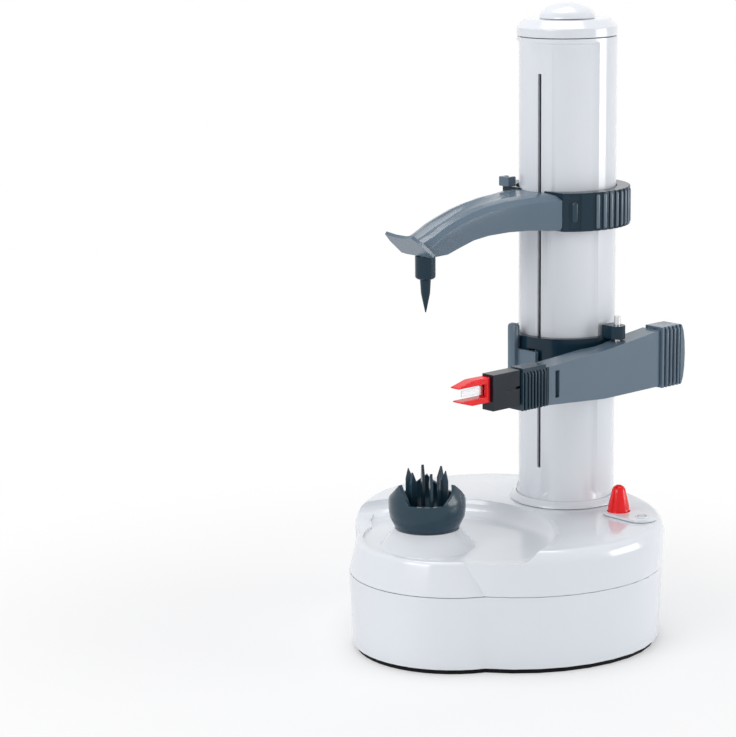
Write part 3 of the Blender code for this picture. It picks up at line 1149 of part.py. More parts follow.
def panel_cutter(name, side):
    """Cutter for one recessed panel; side is 1 for the near one and -1 for the far one."""
    outer = COLUMN_RADIUS + OVERRUN
    floor = COLUMN_RADIUS - PANEL_DEPTH
    lift = OVERRUN / (PANEL_DEPTH + OVERRUN)
    top = COLUMN_TOP_HEIGHT - PANEL_TOP_MARGIN
    ridge = PANEL_NEAR_START_DEG if side > 0.0 else PANEL_FAR_START_DEG
    rings = []
    for radius, spread in ((floor, 1.0), (outer, -lift)):
        start = 180.0 + ridge + spread * PANEL_GUIDE_BEVEL_DEG
        end = 180.0 + PANEL_BACK_DEG - spread * PANEL_BACK_BEVEL_DEG
        low = PANEL_BOTTOM_HEIGHT + spread * PANEL_BOTTOM_BEVEL
        high = top - spread * PANEL_BOTTOM_BEVEL / 3.0
        lower = []
        upper = []
        steps = 12
        for i in range(steps + 1):
            x, y = polar(COLUMN_X, 0.0, radius, start + (end - start) * i / steps)
            lower.append((x, side * y, low))
            upper.append((x, side * y, high))
        rings.append(lower + list(reversed(upper)))
    return grid_block(name, rings[0], rings[1])


def grid_block(name, inner, outer):
    """A curved block from an inner and an outer face, each a lower row and the upper row back."""
    mesh = bpy.data.meshes.new(name)
    shape = bmesh.new()
    rows = []
    half = len(inner) // 2
    for face in (inner, outer):
        lower = [shape.verts.new(point) for point in face[:half]]
        upper = [shape.verts.new(point) for point in reversed(face[half:])]
        rows.append((lower, upper))
    (inner_low, inner_high), (outer_low, outer_high) = rows
    for i in range(half - 1):
        shape.faces.new((inner_low[i], inner_low[i + 1], inner_high[i + 1], inner_high[i]))
        shape.faces.new((outer_low[i + 1], outer_low[i], outer_high[i], outer_high[i + 1]))
        shape.faces.new((inner_low[i + 1], inner_low[i], outer_low[i], outer_low[i + 1]))
        shape.faces.new((inner_high[i], inner_high[i + 1], outer_high[i + 1], outer_high[i]))
    shape.faces.new((inner_low[0], inner_high[0], outer_high[0], outer_low[0]))
    shape.faces.new((inner_high[-1], inner_low[-1], outer_low[-1], outer_high[-1]))
    bmesh.ops.recalc_face_normals(shape, faces=shape.faces)
    shape.to_mesh(mesh)
    shape.free()
    return SHOP.place(name, mesh)


def lead_screw():
    """The threaded rod in the column, with plain journals, and its top bearing."""
    mesh = bpy.data.meshes.new("lead_screw")
    shape = bmesh.new()
    crests = []
    roots = []
    for i in range(SCREW_TURNS * SCREW_STEPS + 1):
        angle = FULL_TURN * i / SCREW_STEPS
        height = SCREW_THREAD_BOTTOM + SCREW_PITCH * i / SCREW_STEPS
        crests.append(shape.verts.new((SCREW_X + SCREW_CREST_RADIUS * math.cos(angle),
                                       SCREW_CREST_RADIUS * math.sin(angle), height)))
        roots.append(shape.verts.new((SCREW_X + SCREW_ROOT_RADIUS * math.cos(angle),
                                      SCREW_ROOT_RADIUS * math.sin(angle),
                                      height + SCREW_PITCH / 2.0)))
    last = len(crests) - 1
    for i in range(last):
        shape.faces.new((crests[i], crests[i + 1], roots[i + 1], roots[i]))
        if i + 1 + SCREW_STEPS <= last:
            shape.faces.new((roots[i], roots[i + 1], crests[i + 1 + SCREW_STEPS],
                             crests[i + SCREW_STEPS]))
    low = shape.verts.new((SCREW_X, 0.0, SCREW_THREAD_BOTTOM))
    bottom_rim = crests[:SCREW_STEPS + 1] + [roots[0]]
    for i, vertex in enumerate(bottom_rim):
        shape.faces.new((low, bottom_rim[(i + 1) % len(bottom_rim)], vertex))
    high = shape.verts.new((SCREW_X, 0.0, SCREW_THREAD_TOP + SCREW_PITCH / 2.0))
    top_rim = roots[last - SCREW_STEPS:] + [crests[last]]
    for i, vertex in enumerate(top_rim):
        shape.faces.new((high, vertex, top_rim[(i + 1) % len(top_rim)]))
    bmesh.ops.recalc_face_normals(shape, faces=shape.faces)
    shape.to_mesh(mesh)
    shape.free()
    screw = SHOP.place("lead_screw", mesh, STEEL)
    journal_top = TOP_BEARING_BOTTOM + TOP_BEARING_THICKNESS + JOURNAL_REACH
    join(screw, rod("lower_journal", SCREW_JOURNAL_RADIUS, LOWER_PLATE_BOTTOM,
                    SCREW_THREAD_BOTTOM + 2.0 * SCREW_PITCH, sides=PIN_SIDES, at=(SCREW_X, 0.0)),
         rod("upper_journal", SCREW_JOURNAL_RADIUS, SCREW_THREAD_TOP - 2.0 * SCREW_PITCH,
             journal_top, sides=PIN_SIDES, at=(SCREW_X, 0.0)))

    bearing = rod("screw_top_bearing", COLUMN_BORE - SEAT_GAP, TOP_BEARING_BOTTOM,
                  TOP_BEARING_BOTTOM + TOP_BEARING_THICKNESS, INNER_WHITE, SIDES,
                  (COLUMN_X, 0.0))
    cut(bearing, rod("journal_hole", SCREW_JOURNAL_RADIUS + SEAT_GAP,
                     TOP_BEARING_BOTTOM - OVERRUN,
                     TOP_BEARING_BOTTOM + TOP_BEARING_THICKNESS + OVERRUN, at=(SCREW_X, 0.0)))


def stadium(centre_x, centre_y, width, length, steps):
    """A closed outline with straight sides along Y and round ends."""
    radius = width / 2.0
    half = length / 2.0 - radius
    points = arc(centre_x, centre_y + half, radius, radius, 0.0, 180.0, steps)
    return points + arc(centre_x, centre_y - half, radius, radius, 180.0, 360.0, steps)


def switch_group():
    """Red button with its plate, lens, spring, switch and board, and the low-voltage inlet."""
    plate_y = BUTTON_Y + PLATE_OFFSET_Y
    lens_y = BUTTON_Y + LENS_OFFSET_Y
    button_hole = BUTTON_RADIUS + BUTTON_CLEARANCE
    sheet_outline("switch_plate", [
        stadium(BUTTON_X, plate_y, PLATE_WIDTH, PLATE_LENGTH, 10),
        circle(BUTTON_X, BUTTON_Y, button_hole, SMALL_SIDES),
        circle(BUTTON_X, lens_y, LENS_RADIUS + SEAT_GAP, PIN_SIDES)],
        RIGHT_TOP_HEIGHT + SEAT_GAP, PLATE_TOP, WHITE_PLASTIC)
    rod("indicator_lens", LENS_RADIUS, RIGHT_CEILING, PLATE_TOP + SEAT_GAP, LENS_CLEAR,
        PIN_SIDES, (BUTTON_X, lens_y))

    button_top = PLATE_TOP + BUTTON_RISE
    nose = arc(0.0, button_top - BUTTON_TOP_RADIUS, BUTTON_TOP_RADIUS, BUTTON_TOP_RADIUS,
               90.0, 0.0, 4)
    turned("red_button", nose + [
        (BUTTON_RADIUS, PLATE_TOP + BUTTON_TRAVEL), (BUTTON_RADIUS, BUTTON_FLANGE_TOP),
        (BUTTON_FLANGE_RADIUS, BUTTON_FLANGE_TOP), (BUTTON_FLANGE_RADIUS, BUTTON_FLANGE_BOTTOM),
        (0.0, BUTTON_FLANGE_BOTTOM)], RED_PLASTIC, SMALL_SIDES, (BUTTON_X, BUTTON_Y))

    board_near = BUTTON_Y - BOARD_LENGTH * BOARD_NEAR_SHARE
    block("circuit_board", (BUTTON_X - BOARD_WIDTH / 2.0, board_near, BOARD_BOTTOM),
          (BUTTON_X + BOARD_WIDTH / 2.0, board_near + BOARD_LENGTH, BOARD_TOP), BOARD_GREEN)
    switch_bottom = BOARD_TOP + SEAT_GAP
    body = block("switch_body", (BUTTON_X - SWITCH_SIZE / 2.0, BUTTON_Y - SWITCH_SIZE / 2.0,
                                 switch_bottom),
                 (BUTTON_X + SWITCH_SIZE / 2.0, BUTTON_Y + SWITCH_SIZE / 2.0,
                  switch_bottom + SWITCH_HEIGHT), BLACK_PLASTIC)
    plunger_top = BUTTON_FLANGE_BOTTOM - BUTTON_TRAVEL - SEAT_GAP
    join(body, rod("switch_plunger", SWITCH_PLUNGER_RADIUS, switch_bottom + SWITCH_HEIGHT / 2.0,
                   plunger_top, at=(BUTTON_X, BUTTON_Y)))
    coil("button_spring", (BUTTON_X, BUTTON_Y), SPRING_RADIUS, SPRING_WIRE, SPRING_TURNS,
         BOARD_TOP + SEAT_GAP + SPRING_WIRE, BUTTON_FLANGE_BOTTOM - SEAT_GAP - SPRING_WIRE)

    flange_start = INLET_FACE_X + SEAT_GAP
    back = INLET_FACE_X - INLET_LENGTH
    inlet = lying_rod("dc_inlet", INLET_RADIUS, (back, 0.0, INLET_HEIGHT), (1.0, 0.0, 0.0),
                      INLET_LENGTH + SEAT_GAP + INLET_FLANGE_THICKNESS / 2.0, BLACK_PLASTIC,
                      SMALL_SIDES)
    join(inlet, lying_rod("inlet_flange", INLET_FLANGE_RADIUS, (flange_start, 0.0, INLET_HEIGHT),
                          (1.0, 0.0, 0.0), INLET_FLANGE_THICKNESS, sides=SMALL_SIDES))
    cut(inlet, lying_rod("inlet_bore", INLET_BORE, (back + SHELL_WALL, 0.0, INLET_HEIGHT),
                         (1.0, 0.0, 0.0), 2.0 * INLET_LENGTH, sides=SMALL_SIDES))
    join(inlet, lying_rod("inlet_pin", INLET_PIN_RADIUS,
                          (back + SHELL_WALL / 2.0, 0.0, INLET_HEIGHT), (1.0, 0.0, 0.0),
                          INLET_LENGTH - SHELL_WALL, sides=PIN_SIDES // 2))


def coil(name, at, radius, wire, turns, bottom, top):
    """A helical spring of round wire, eight points to a turn."""
    curve = bpy.data.curves.new(name, "CURVE")
    curve.dimensions = "3D"
    curve.bevel_depth = wire
    curve.bevel_resolution = 1
    curve.use_fill_caps = True
    spline = curve.splines.new("POLY")
    steps = 8 * turns
    spline.points.add(steps)
    for i in range(steps + 1):
        angle = FULL_TURN * i / 8
        spline.points[i].co = (at[0] + radius * math.cos(angle), at[1] + radius * math.sin(angle),
                               bottom + (top - bottom) * i / steps, 1.0)
    drawn = bpy.data.objects.new(name + "_drawn", curve)
    SHOP.cutters.objects.link(drawn)
    bpy.context.view_layer.update()
    mesh = bpy.data.meshes.new_from_object(drawn.evaluated_get(
        bpy.context.evaluated_depsgraph_get()))
    bpy.data.objects.remove(drawn, do_unlink=True)
    shape = bmesh.new()
    shape.from_mesh(mesh)
    bmesh.ops.remove_doubles(shape, verts=shape.verts, dist=MERGE / 10.0)
    bmesh.ops.recalc_face_normals(shape, faces=shape.faces)
    shape.to_mesh(mesh)
    shape.free()
    mesh.name = name
    return SHOP.place(name, mesh, STEEL)


def arm_section(x, half, bottom, side, crown, trough):
    """One closed section of the arm across X, with a trough along its top."""
    near = []
    far = []
    for across, up, over, sunk in ARM_SECTION_SHARES:
        z = bottom + (side - bottom) * up + (crown - side) * over - trough * sunk
        near.append((x, -half * across, z))
        far.append((x, half * across, z))
    return near + list(reversed(far[:-1]))


def lip_x(height):
    """X of the arm's slanted end plane at a height."""
    return LIP_FOOT_X - (height - LIP_FOOT_HEIGHT) / math.tan(LIP_TILT_DEG * DEG)


def upper_arm():
    """The curved arm with its trough and end lip, cut round the column."""
    root_x = COLUMN_X + BAND_JOINT_X - SEAT_GAP / 2.0
    reach = root_x - LIP_FOOT_X
    width = ARM_ROOT_HALF - ARM_NARROW_HALF
    drop = ARM_ROOT_BOTTOM - ARM_TIP_BOTTOM
    rise = ARM_ROOT_SIDE - ARM_TIP_SIDE
    rings = []
    for along, wide, low, high, trough in ARM_STATION_SHARES:
        side = ARM_TIP_SIDE + rise * high
        rings.append(arm_section(LIP_FOOT_X + reach * along, ARM_NARROW_HALF + width * wide,
                                 ARM_TIP_BOTTOM + drop * low, side,
                                 side + ARM_CROWN_RISE * (1.0 - ARM_CROWN_FADE_SHARE * wide),
                                 ARM_TROUGH_DEPTH * trough))
    tip_side = ARM_TIP_SIDE - ARM_CROWN_RISE
    tip = arm_section(LIP_FOOT_X, ARM_NARROW_HALF, LIP_FOOT_HEIGHT, tip_side,
                      tip_side + ARM_CROWN_RISE, ARM_TROUGH_DEPTH * LIP_TROUGH_SHARE)
    rings.insert(0, [(lip_x(z), y, z) for x, y, z in tip])
    arm = lofted("upper_arm", rings, SLATE_PLASTIC)
    join(arm, end_lip())
    cut(arm, rod("arm_column_cut", BAND_BORE, BAND_BOTTOM_HEIGHT - 2.0 * OVERRUN,
                 BAND_TOP_HEIGHT + 2.0 * OVERRUN, sides=FINE_SIDES, at=(COLUMN_X, 0.0)))
    key_height = (BAND_BOTTOM_HEIGHT + BAND_TOP_HEIGHT) / 2.0
    inner_face = COLUMN_X - COLUMN_BORE + SEAT_GAP
    join(arm, block("lock_tongue", (root_x - ARM_ROOT_HALF / 4.0,
                                    SLOT_OFFSET_Y - TONGUE_THICKNESS / 2.0,
                                    key_height - LOCK_HEIGHT / 2.0),
                    (inner_face + 3.0 * OVERRUN, SLOT_OFFSET_Y + TONGUE_THICKNESS / 2.0,
                     key_height + LOCK_HEIGHT / 2.0)))
    for side, name in ((1.0, "arm_screw_bore_far"), (-1.0, "arm_screw_bore_near")):
        cut(arm, lying_rod(name, SCREW_SHANK_RADIUS + SEAT_GAP,
                           (root_x - BAND_SCREW_LENGTH / 2.0 - SEAT_GAP, side * BAND_SCREW_Y,
                            key_height), (1.0, 0.0, 0.0), BAND_SCREW_LENGTH))


def end_lip():
    """The upturned plate at the arm's end, wider than the arm, with a pointed outline."""
    tilt = LIP_TILT_DEG * DEG
    outward = Vector((-math.cos(tilt), 0.0, math.sin(tilt)))
    normal = Vector((math.sin(tilt), 0.0, math.cos(tilt)))
    foot = Vector((LIP_FOOT_X, 0.0, LIP_FOOT_HEIGHT))
    outline_shares = ((-0.04, -0.72), (0.0, -1.0), (0.62, -0.98), (1.0, -0.82), (0.9, -0.3),
                      (0.9, 0.3), (1.0, 0.82), (0.62, 0.98), (0.0, 1.0), (-0.04, 0.72))
    rings = []
    for lift in (LIP_THICKNESS / 3.0, -2.0 * LIP_THICKNESS / 3.0):
        ring = []
        for along, across in outline_shares:
            ring.append(foot + outward * (LIP_LENGTH * along) + normal * lift
                        + Vector((0.0, LIP_HALF_WIDTH * across, 0.0)))
        rings.append(ring)
    return lofted("end_lip", rings)


def upper_band():
    """The ribbed half ring behind the column, its joint screws and the release tab."""
    band = turned("upper_band", [(BAND_OUTER_RADIUS, BAND_TOP_HEIGHT),
                                 (BAND_OUTER_RADIUS, BAND_BOTTOM_HEIGHT),
                                 (BAND_BORE, BAND_BOTTOM_HEIGHT), (BAND_BORE, BAND_TOP_HEIGHT)],
                  SLATE_PLASTIC, FINE_SIDES, (COLUMN_X, 0.0))
    joint_x = COLUMN_X + BAND_JOINT_X + SEAT_GAP / 2.0
    reach = 2.0 * BAND_OUTER_RADIUS
    cut(band, block("band_joint_cut", (joint_x - reach, -reach, BAND_BOTTOM_HEIGHT - OVERRUN),
                    (joint_x, reach, BAND_TOP_HEIGHT + OVERRUN)))
    step = (BAND_RIB_END_DEG - BAND_RIB_START_DEG) / (BAND_RIB_COUNT - 1)
    for side in (1.0, -1.0):
        for i in range(BAND_RIB_COUNT):
            degrees = side * (BAND_RIB_START_DEG + i * step)
            cut(band, block("band_groove_%d" % i, (COLUMN_X + BAND_OUTER_RADIUS - BAND_RIB_DEPTH,
                                                   -BAND_RIB_WIDTH / 2.0,
                                                   BAND_BOTTOM_HEIGHT - OVERRUN),
                            (COLUMN_X + BAND_OUTER_RADIUS + OVERRUN, BAND_RIB_WIDTH / 2.0,
                             BAND_TOP_HEIGHT + OVERRUN), None, degrees, (COLUMN_X, 0.0)))
    cut(band, block("band_inset", (COLUMN_X + BAND_OUTER_RADIUS - BAND_INSET_DEPTH,
                                   -BAND_INSET_WIDTH / 2.0, BAND_BOTTOM_HEIGHT + BAND_INSET_DEPTH),
                    (COLUMN_X + BAND_OUTER_RADIUS + OVERRUN, BAND_INSET_WIDTH / 2.0,
                     BAND_TOP_HEIGHT - BAND_INSET_DEPTH), None, BAND_INSET_DEG, (COLUMN_X, 0.0)))
    height = (BAND_BOTTOM_HEIGHT + BAND_TOP_HEIGHT) / 2.0
    start_x = COLUMN_X + BAND_JOINT_X - BAND_SCREW_LENGTH / 2.0
    for name, side in (("far", 1.0), ("near", -1.0)):
        start = (start_x, side * BAND_SCREW_Y, height)
        cut(band, lying_rod("band_bore_" + name, SCREW_SHANK_RADIUS + SEAT_GAP, start,
                            (1.0, 0.0, 0.0), BAND_SCREW_LENGTH + SEAT_GAP))
        lying_rod("band_screw_" + name, SCREW_SHANK_RADIUS, start, (1.0, 0.0, 0.0),
                  BAND_SCREW_LENGTH, STEEL)

    tab_bottom = BAND_TOP_HEIGHT + SEAT_GAP
    tab_x = COLUMN_X + ARM_TAB_X - ARM_TAB_WIDTH
    tab = block("upper_release_tab", (tab_x - ARM_TAB_WIDTH / 2.0, ARM_TAB_Y - ARM_TAB_LENGTH,
                                      tab_bottom),
                (tab_x + ARM_TAB_WIDTH / 2.0, ARM_TAB_Y, tab_bottom + ARM_TAB_HEIGHT),
                SLATE_PLASTIC)
    near, far, foot = ARM_TAB_NOTCH_SHARES
    cut(tab, block("tab_notch", (tab_x - ARM_TAB_WIDTH / 6.0, ARM_TAB_Y - ARM_TAB_LENGTH * near,
                                 tab_bottom + ARM_TAB_HEIGHT * foot),
                   (tab_x + ARM_TAB_WIDTH, ARM_TAB_Y - ARM_TAB_LENGTH * far,
                    tab_bottom + 2.0 * ARM_TAB_HEIGHT)))


def top_spike():
    """The housing under the arm's end and the spike that turns in it."""
    top = ARM_TIP_BOTTOM - SEAT_GAP
    bore = SPIKE_SHAFT_RADIUS + SEAT_GAP
    counterbore = SPIKE_HEAD_RADIUS + SEAT_GAP
    ledge = SPIKE_HEAD_HEIGHT - SEAT_GAP
    turned("spike_housing", [
        (HOUSING_RADIUS, top), (HOUSING_RADIUS, HOUSING_BOTTOM_HEIGHT + HOUSING_EDGE),
        (HOUSING_RADIUS - HOUSING_EDGE, HOUSING_BOTTOM_HEIGHT), (bore, HOUSING_BOTTOM_HEIGHT),
        (bore, ledge), (counterbore, ledge), (counterbore, top)], SLATE_PLASTIC, SMALL_SIDES)
    root = HOUSING_BOTTOM_HEIGHT - SEAT_GAP
    turned("top_spike", [
        (0.0, SPIKE_HEAD_HEIGHT + SPIKE_HEAD_THICKNESS),
        (SPIKE_HEAD_RADIUS, SPIKE_HEAD_HEIGHT + SPIKE_HEAD_THICKNESS),
        (SPIKE_HEAD_RADIUS, SPIKE_HEAD_HEIGHT), (SPIKE_SHAFT_RADIUS, SPIKE_HEAD_HEIGHT),
        (SPIKE_SHAFT_RADIUS, root), (SPIKE_ROOT_RADIUS, root),
        (SPIKE_WAIST_RADIUS, root - SPIKE_WAIST_DROP), (SPIKE_POINT_RADIUS, root - SPIKE_LENGTH),
        (0.0, root - SPIKE_LENGTH)], SLATE_PLASTIC, SMALL_SIDES)


def lever_bottom(x):
    """Height of the lever's lower edge at X."""
    if x < LEVER_MIDDLE_X:
        share = (x - LEVER_LEFT_X) / (LEVER_MIDDLE_X - LEVER_LEFT_X)
        return LEVER_LEFT_BOTTOM + share * (LEVER_MIDDLE_BOTTOM - LEVER_LEFT_BOTTOM)
    share = (x - LEVER_MIDDLE_X) / (LEVER_RIGHT_X - LEVER_MIDDLE_X)
    return LEVER_MIDDLE_BOTTOM + share * (LEVER_RIGHT_BOTTOM - LEVER_MIDDLE_BOTTOM)


def lever_top(x):
    """Height of the lever's upper edge at X."""
    if x < LEVER_MIDDLE_X:
        share = (x - LEVER_LEFT_X) / (LEVER_MIDDLE_X - LEVER_LEFT_X)
        return LEVER_LEFT_TOP + share * (LEVER_MIDDLE_TOP - LEVER_LEFT_TOP)
    share = (x - LEVER_MIDDLE_X) / (LEVER_RIGHT_X - LEVER_MIDDLE_X)
    return LEVER_MIDDLE_TOP + share * (LEVER_RIGHT_TOP - LEVER_MIDDLE_TOP)


def lever_outline(inset):
    """Front view of the lever's body, drawn in by an inset."""
    stations = [LEVER_LEFT_X + inset + (LEVER_RIGHT_X - LEVER_LEFT_X - 2.0 * inset) * i / 6.0
                for i in range(7)]
    lower = [(x, lever_bottom(x) + inset) for x in stations]
    upper = [(x, lever_top(x) - inset) for x in stations]
    return lower + list(reversed(upper))


def swung_column(name, radius, swing_deg, bottom, top):
    """The column's place as the lever sees it when swung by an angle."""
    turn = Matrix.Rotation(-swing_deg * DEG, 2)
    offset = turn @ Vector((COLUMN_X - PIVOT_X, -PIVOT_Y))
    return rod(name, radius, bottom, top, sides=SIDES,
               at=(PIVOT_X + offset.x, PIVOT_Y + offset.y))


def peel_collar():
    """The ring that carries the lever, its lug and ear, the pin and the spring."""
    ring = turned("peel_collar", [(PEEL_OUTER_RADIUS, PEEL_TOP_HEIGHT),
                                  (PEEL_OUTER_RADIUS, PEEL_BOTTOM_HEIGHT),
                                  (BAND_BORE, PEEL_BOTTOM_HEIGHT), (BAND_BORE, PEEL_TOP_HEIGHT)],
                  SLATE_PLASTIC, FINE_SIDES, (COLUMN_X, 0.0))
    inner_bottom = lever_bottom(PIVOT_X) + LEVER_WALL + EAR_GAP
    inner_top = lever_top(PIVOT_X) - LEVER_WALL - EAR_GAP
    lug_top = inner_bottom + (inner_top - inner_bottom) * LUG_SHARE
    ear_bottom = lever_top(PIVOT_X) + EAR_RISE
    inward = (BAND_BORE + PEEL_OUTER_RADIUS) / 2.0
    for name, bottom, top in (("lever_lug", inner_bottom, lug_top),
                              ("lever_ear", ear_bottom, ear_bottom + EAR_THICKNESS)):
        join(ring, rod(name + "_end", LUG_RADIUS, bottom, top, sides=SMALL_SIDES,
                       at=(PIVOT_X, PIVOT_Y)),
             block(name + "_root", (PIVOT_X - LUG_RADIUS, PIVOT_Y, bottom),
                   (PIVOT_X + LUG_RADIUS, -inward, top)))
    join(ring, block("ear_rib", (PIVOT_X - LUG_RADIUS / 2.0, EAR_GAP - PEEL_OUTER_RADIUS,
                                 PEEL_TOP_HEIGHT - EAR_THICKNESS),
                     (PIVOT_X + LUG_RADIUS / 2.0, EAR_GAP - inward,
                      ear_bottom + EAR_THICKNESS / 2.0)))
    cut(ring, rod("ring_bore_again", BAND_BORE, PEEL_BOTTOM_HEIGHT - OVERRUN,
                  TAB_POST_TOP + OVERRUN, sides=FINE_SIDES, at=(COLUMN_X, 0.0)),
        rod("pin_bore", PIN_RADIUS + SEAT_GAP, PEEL_BOTTOM_HEIGHT - OVERRUN,
            TAB_POST_TOP + OVERRUN, at=(PIVOT_X, PIVOT_Y)))
    window_middle = LATCH_CENTRE_HEIGHT + SEAT_GAP
    cut(ring, block("tongue_window", (COLUMN_X - PEEL_OUTER_RADIUS - OVERRUN,
                                      SLOT_OFFSET_Y - PEEL_WINDOW_WIDTH / 2.0,
                                      window_middle - PEEL_WINDOW_HEIGHT / 2.0),
                    (COLUMN_X - BAND_BORE / 2.0, SLOT_OFFSET_Y + PEEL_WINDOW_WIDTH / 2.0,
                     window_middle + PEEL_WINDOW_HEIGHT / 2.0)))

    pin_bottom = lever_bottom(PIVOT_X)
    pin_top = ear_bottom + EAR_THICKNESS + PIN_STAND
    pin = rod("lever_pivot_pin", PIN_RADIUS, pin_bottom, pin_top, STEEL, at=(PIVOT_X, PIVOT_Y))
    join(pin, rod("pin_head", PIN_HEAD_RADIUS, pin_bottom - SEAT_GAP - PIN_HEAD_HEIGHT,
                  pin_bottom - SEAT_GAP, at=(PIVOT_X, PIVOT_Y)),
         rod("pin_neck", PIN_RADIUS, pin_bottom - PIN_HEAD_HEIGHT, pin_bottom + OVERRUN,
             at=(PIVOT_X, PIVOT_Y)))
    coil("lever_spring", (PIVOT_X, PIVOT_Y), LEVER_SPRING_RADIUS, LEVER_SPRING_WIRE,
         LEVER_SPRING_TURNS, lug_top + SEAT_GAP + LEVER_SPRING_WIRE,
         inner_top + EAR_GAP - SEAT_GAP - LEVER_SPRING_WIRE)
    return window_middle


def peel_release(middle):
    """The tab outside the collar with its post, and the half nut on the screw."""
    plate_back = COLUMN_X - PEEL_OUTER_RADIUS - TAB_STAND_OFF
    plate_front = plate_back - TAB_PLATE_THICKNESS
    post_far = TAB_POST_NEAR_Y + TAB_POST_WIDTH
    tab = block("peel_release_tab", (plate_front, TAB_PLATE_NEAR_Y, middle - TAB_PLATE_HEIGHT / 2.0),
                (plate_back, post_far - OVERRUN, middle + TAB_PLATE_HEIGHT / 2.0), SLATE_PLASTIC)
    join(tab, block("tab_post", (plate_back - TAB_POST_THICKNESS, TAB_POST_NEAR_Y,
                                 PEEL_BOTTOM_HEIGHT + OVERRUN / 2.0),
                    (plate_back - OVERRUN / 20.0, post_far, TAB_POST_TOP), None, 0.0, (0.0, 0.0),
                    TAB_POST_ROUND))
    nut_back = COLUMN_X - COLUMN_BORE + SEAT_GAP + TAB_TRAVEL
    nut_front = SCREW_X - SCREW_ROOT_RADIUS
    nut = block("half_nut", (nut_back, -NUT_HALF_WIDTH, middle - NUT_HEIGHT / 2.0),
                (nut_front, NUT_HALF_WIDTH, middle + NUT_HEIGHT / 2.0), GEAR_NYLON)
    wall_reach = COLUMN_BORE - SEAT_GAP - TAB_TRAVEL
    cut(nut, turned("nut_wall_cut", [
        (COLUMN_RADIUS, middle + NUT_HEIGHT), (COLUMN_RADIUS, middle - NUT_HEIGHT),
        (wall_reach, middle - NUT_HEIGHT), (wall_reach, middle + NUT_HEIGHT)],
        at=(COLUMN_X, 0.0)))
    join(nut, block("nut_tongue", (plate_back + SEAT_GAP, SLOT_OFFSET_Y - TONGUE_THICKNESS / 2.0,
                                   middle - NUT_HEIGHT / 2.0 + OVERRUN),
                    (nut_front - OVERRUN, SLOT_OFFSET_Y + TONGUE_THICKNESS / 2.0,
                     middle + NUT_HEIGHT / 2.0 - OVERRUN)))
    cut(nut, rod("nut_thread_cut", SCREW_CREST_RADIUS + NUT_THREAD_CLEARANCE,
                 middle - NUT_HEIGHT, middle + NUT_HEIGHT, sides=SIDES, at=(SCREW_X, 0.0)))


def peel_lever():
    """The channel-section lever with its tongue, and the ribbed grip on its tail."""
    lever = front_plate("peel_lever", lever_outline(0.0), LEVER_BACK_Y, LEVER_FRONT_Y,
                        SLATE_PLASTIC)
    hollow = front_plate("lever_hollow", lever_outline(LEVER_WALL), LEVER_BACK_Y + OVERRUN,
                         LEVER_FRONT_Y + LEVER_WALL)
    cut(lever, hollow)
    swings = (LEVER_SWING_IN_DEG, LEVER_SWING_IN_DEG / 2.0, 0.0, LEVER_SWING_OUT_DEG / 2.0,
              LEVER_SWING_OUT_DEG)
    for i, swing in enumerate(swings):
        cut(lever, swung_column("lever_clearance_%d" % i, PEEL_OUTER_RADIUS + LUG_CLEARANCE, swing,
                                LEVER_MIDDLE_BOTTOM - 3.0 * OVERRUN, LEVER_RIGHT_TOP + OVERRUN))
    cut(lever, rod("lever_pin_bore", PIN_RADIUS + SEAT_GAP, LEVER_MIDDLE_BOTTOM - 3.0 * OVERRUN,
                   LEVER_RIGHT_TOP + OVERRUN, at=(PIVOT_X, PIVOT_Y)))
    cut(lever, block("lever_window",
                     (LEVER_WINDOW_X, LEVER_FRONT_Y - OVERRUN,
                      LATCH_CENTRE_HEIGHT - LEVER_WINDOW_HEIGHT / 2.0),
                     (LEVER_WINDOW_X + LEVER_WINDOW_WIDTH, LEVER_FRONT_Y + LEVER_WALL + OVERRUN,
                      LATCH_CENTRE_HEIGHT + LEVER_WINDOW_HEIGHT / 2.0)))
    join(lever, block("lever_tongue",
                      (LEVER_LEFT_X - TONGUE_REACH, TONGUE_Y - TONGUE_DEPTH / 2.0,
                       LATCH_CENTRE_HEIGHT - TONGUE_HEIGHT / 2.0),
                      (LEVER_LEFT_X + LEVER_WALL / 2.0, TONGUE_Y + TONGUE_DEPTH / 2.0,
                       LATCH_CENTRE_HEIGHT + TONGUE_HEIGHT / 2.0)))

    grip_left = LEVER_RIGHT_X + SEAT_GAP
    grip_right = grip_left + GRIP_LENGTH
    front = LEVER_FRONT_Y - GRIP_PROUD
    tail = [(grip_left, GRIP_BOTTOM), (grip_right - GRIP_TAIL, GRIP_BOTTOM)]
    tail += arc(grip_right - GRIP_TAIL, (GRIP_BOTTOM + GRIP_TOP) / 2.0, GRIP_TAIL,
                (GRIP_TOP - GRIP_BOTTOM) / 2.0, -75.0, 75.0, 6)
    tail += [(grip_right - GRIP_TAIL, GRIP_TOP), (grip_left, GRIP_TOP)]
    grip = front_plate("lever_grip", tail, LEVER_BACK_Y - GRIP_PROUD, front, SLATE_PLASTIC)
    pitch = (GRIP_LENGTH - GRIP_TAIL) / GRIP_RIBS
    for i in range(GRIP_RIBS):
        left = grip_left + pitch * (i + 0.5)
        cut(grip, block("grip_groove_%d" % i, (left, front - OVERRUN, GRIP_BOTTOM - OVERRUN),
                        (left + pitch * GRIP_RIB_SHARE, front + GRIP_RIB_DEPTH,
                         GRIP_TOP + OVERRUN)))
    return swings


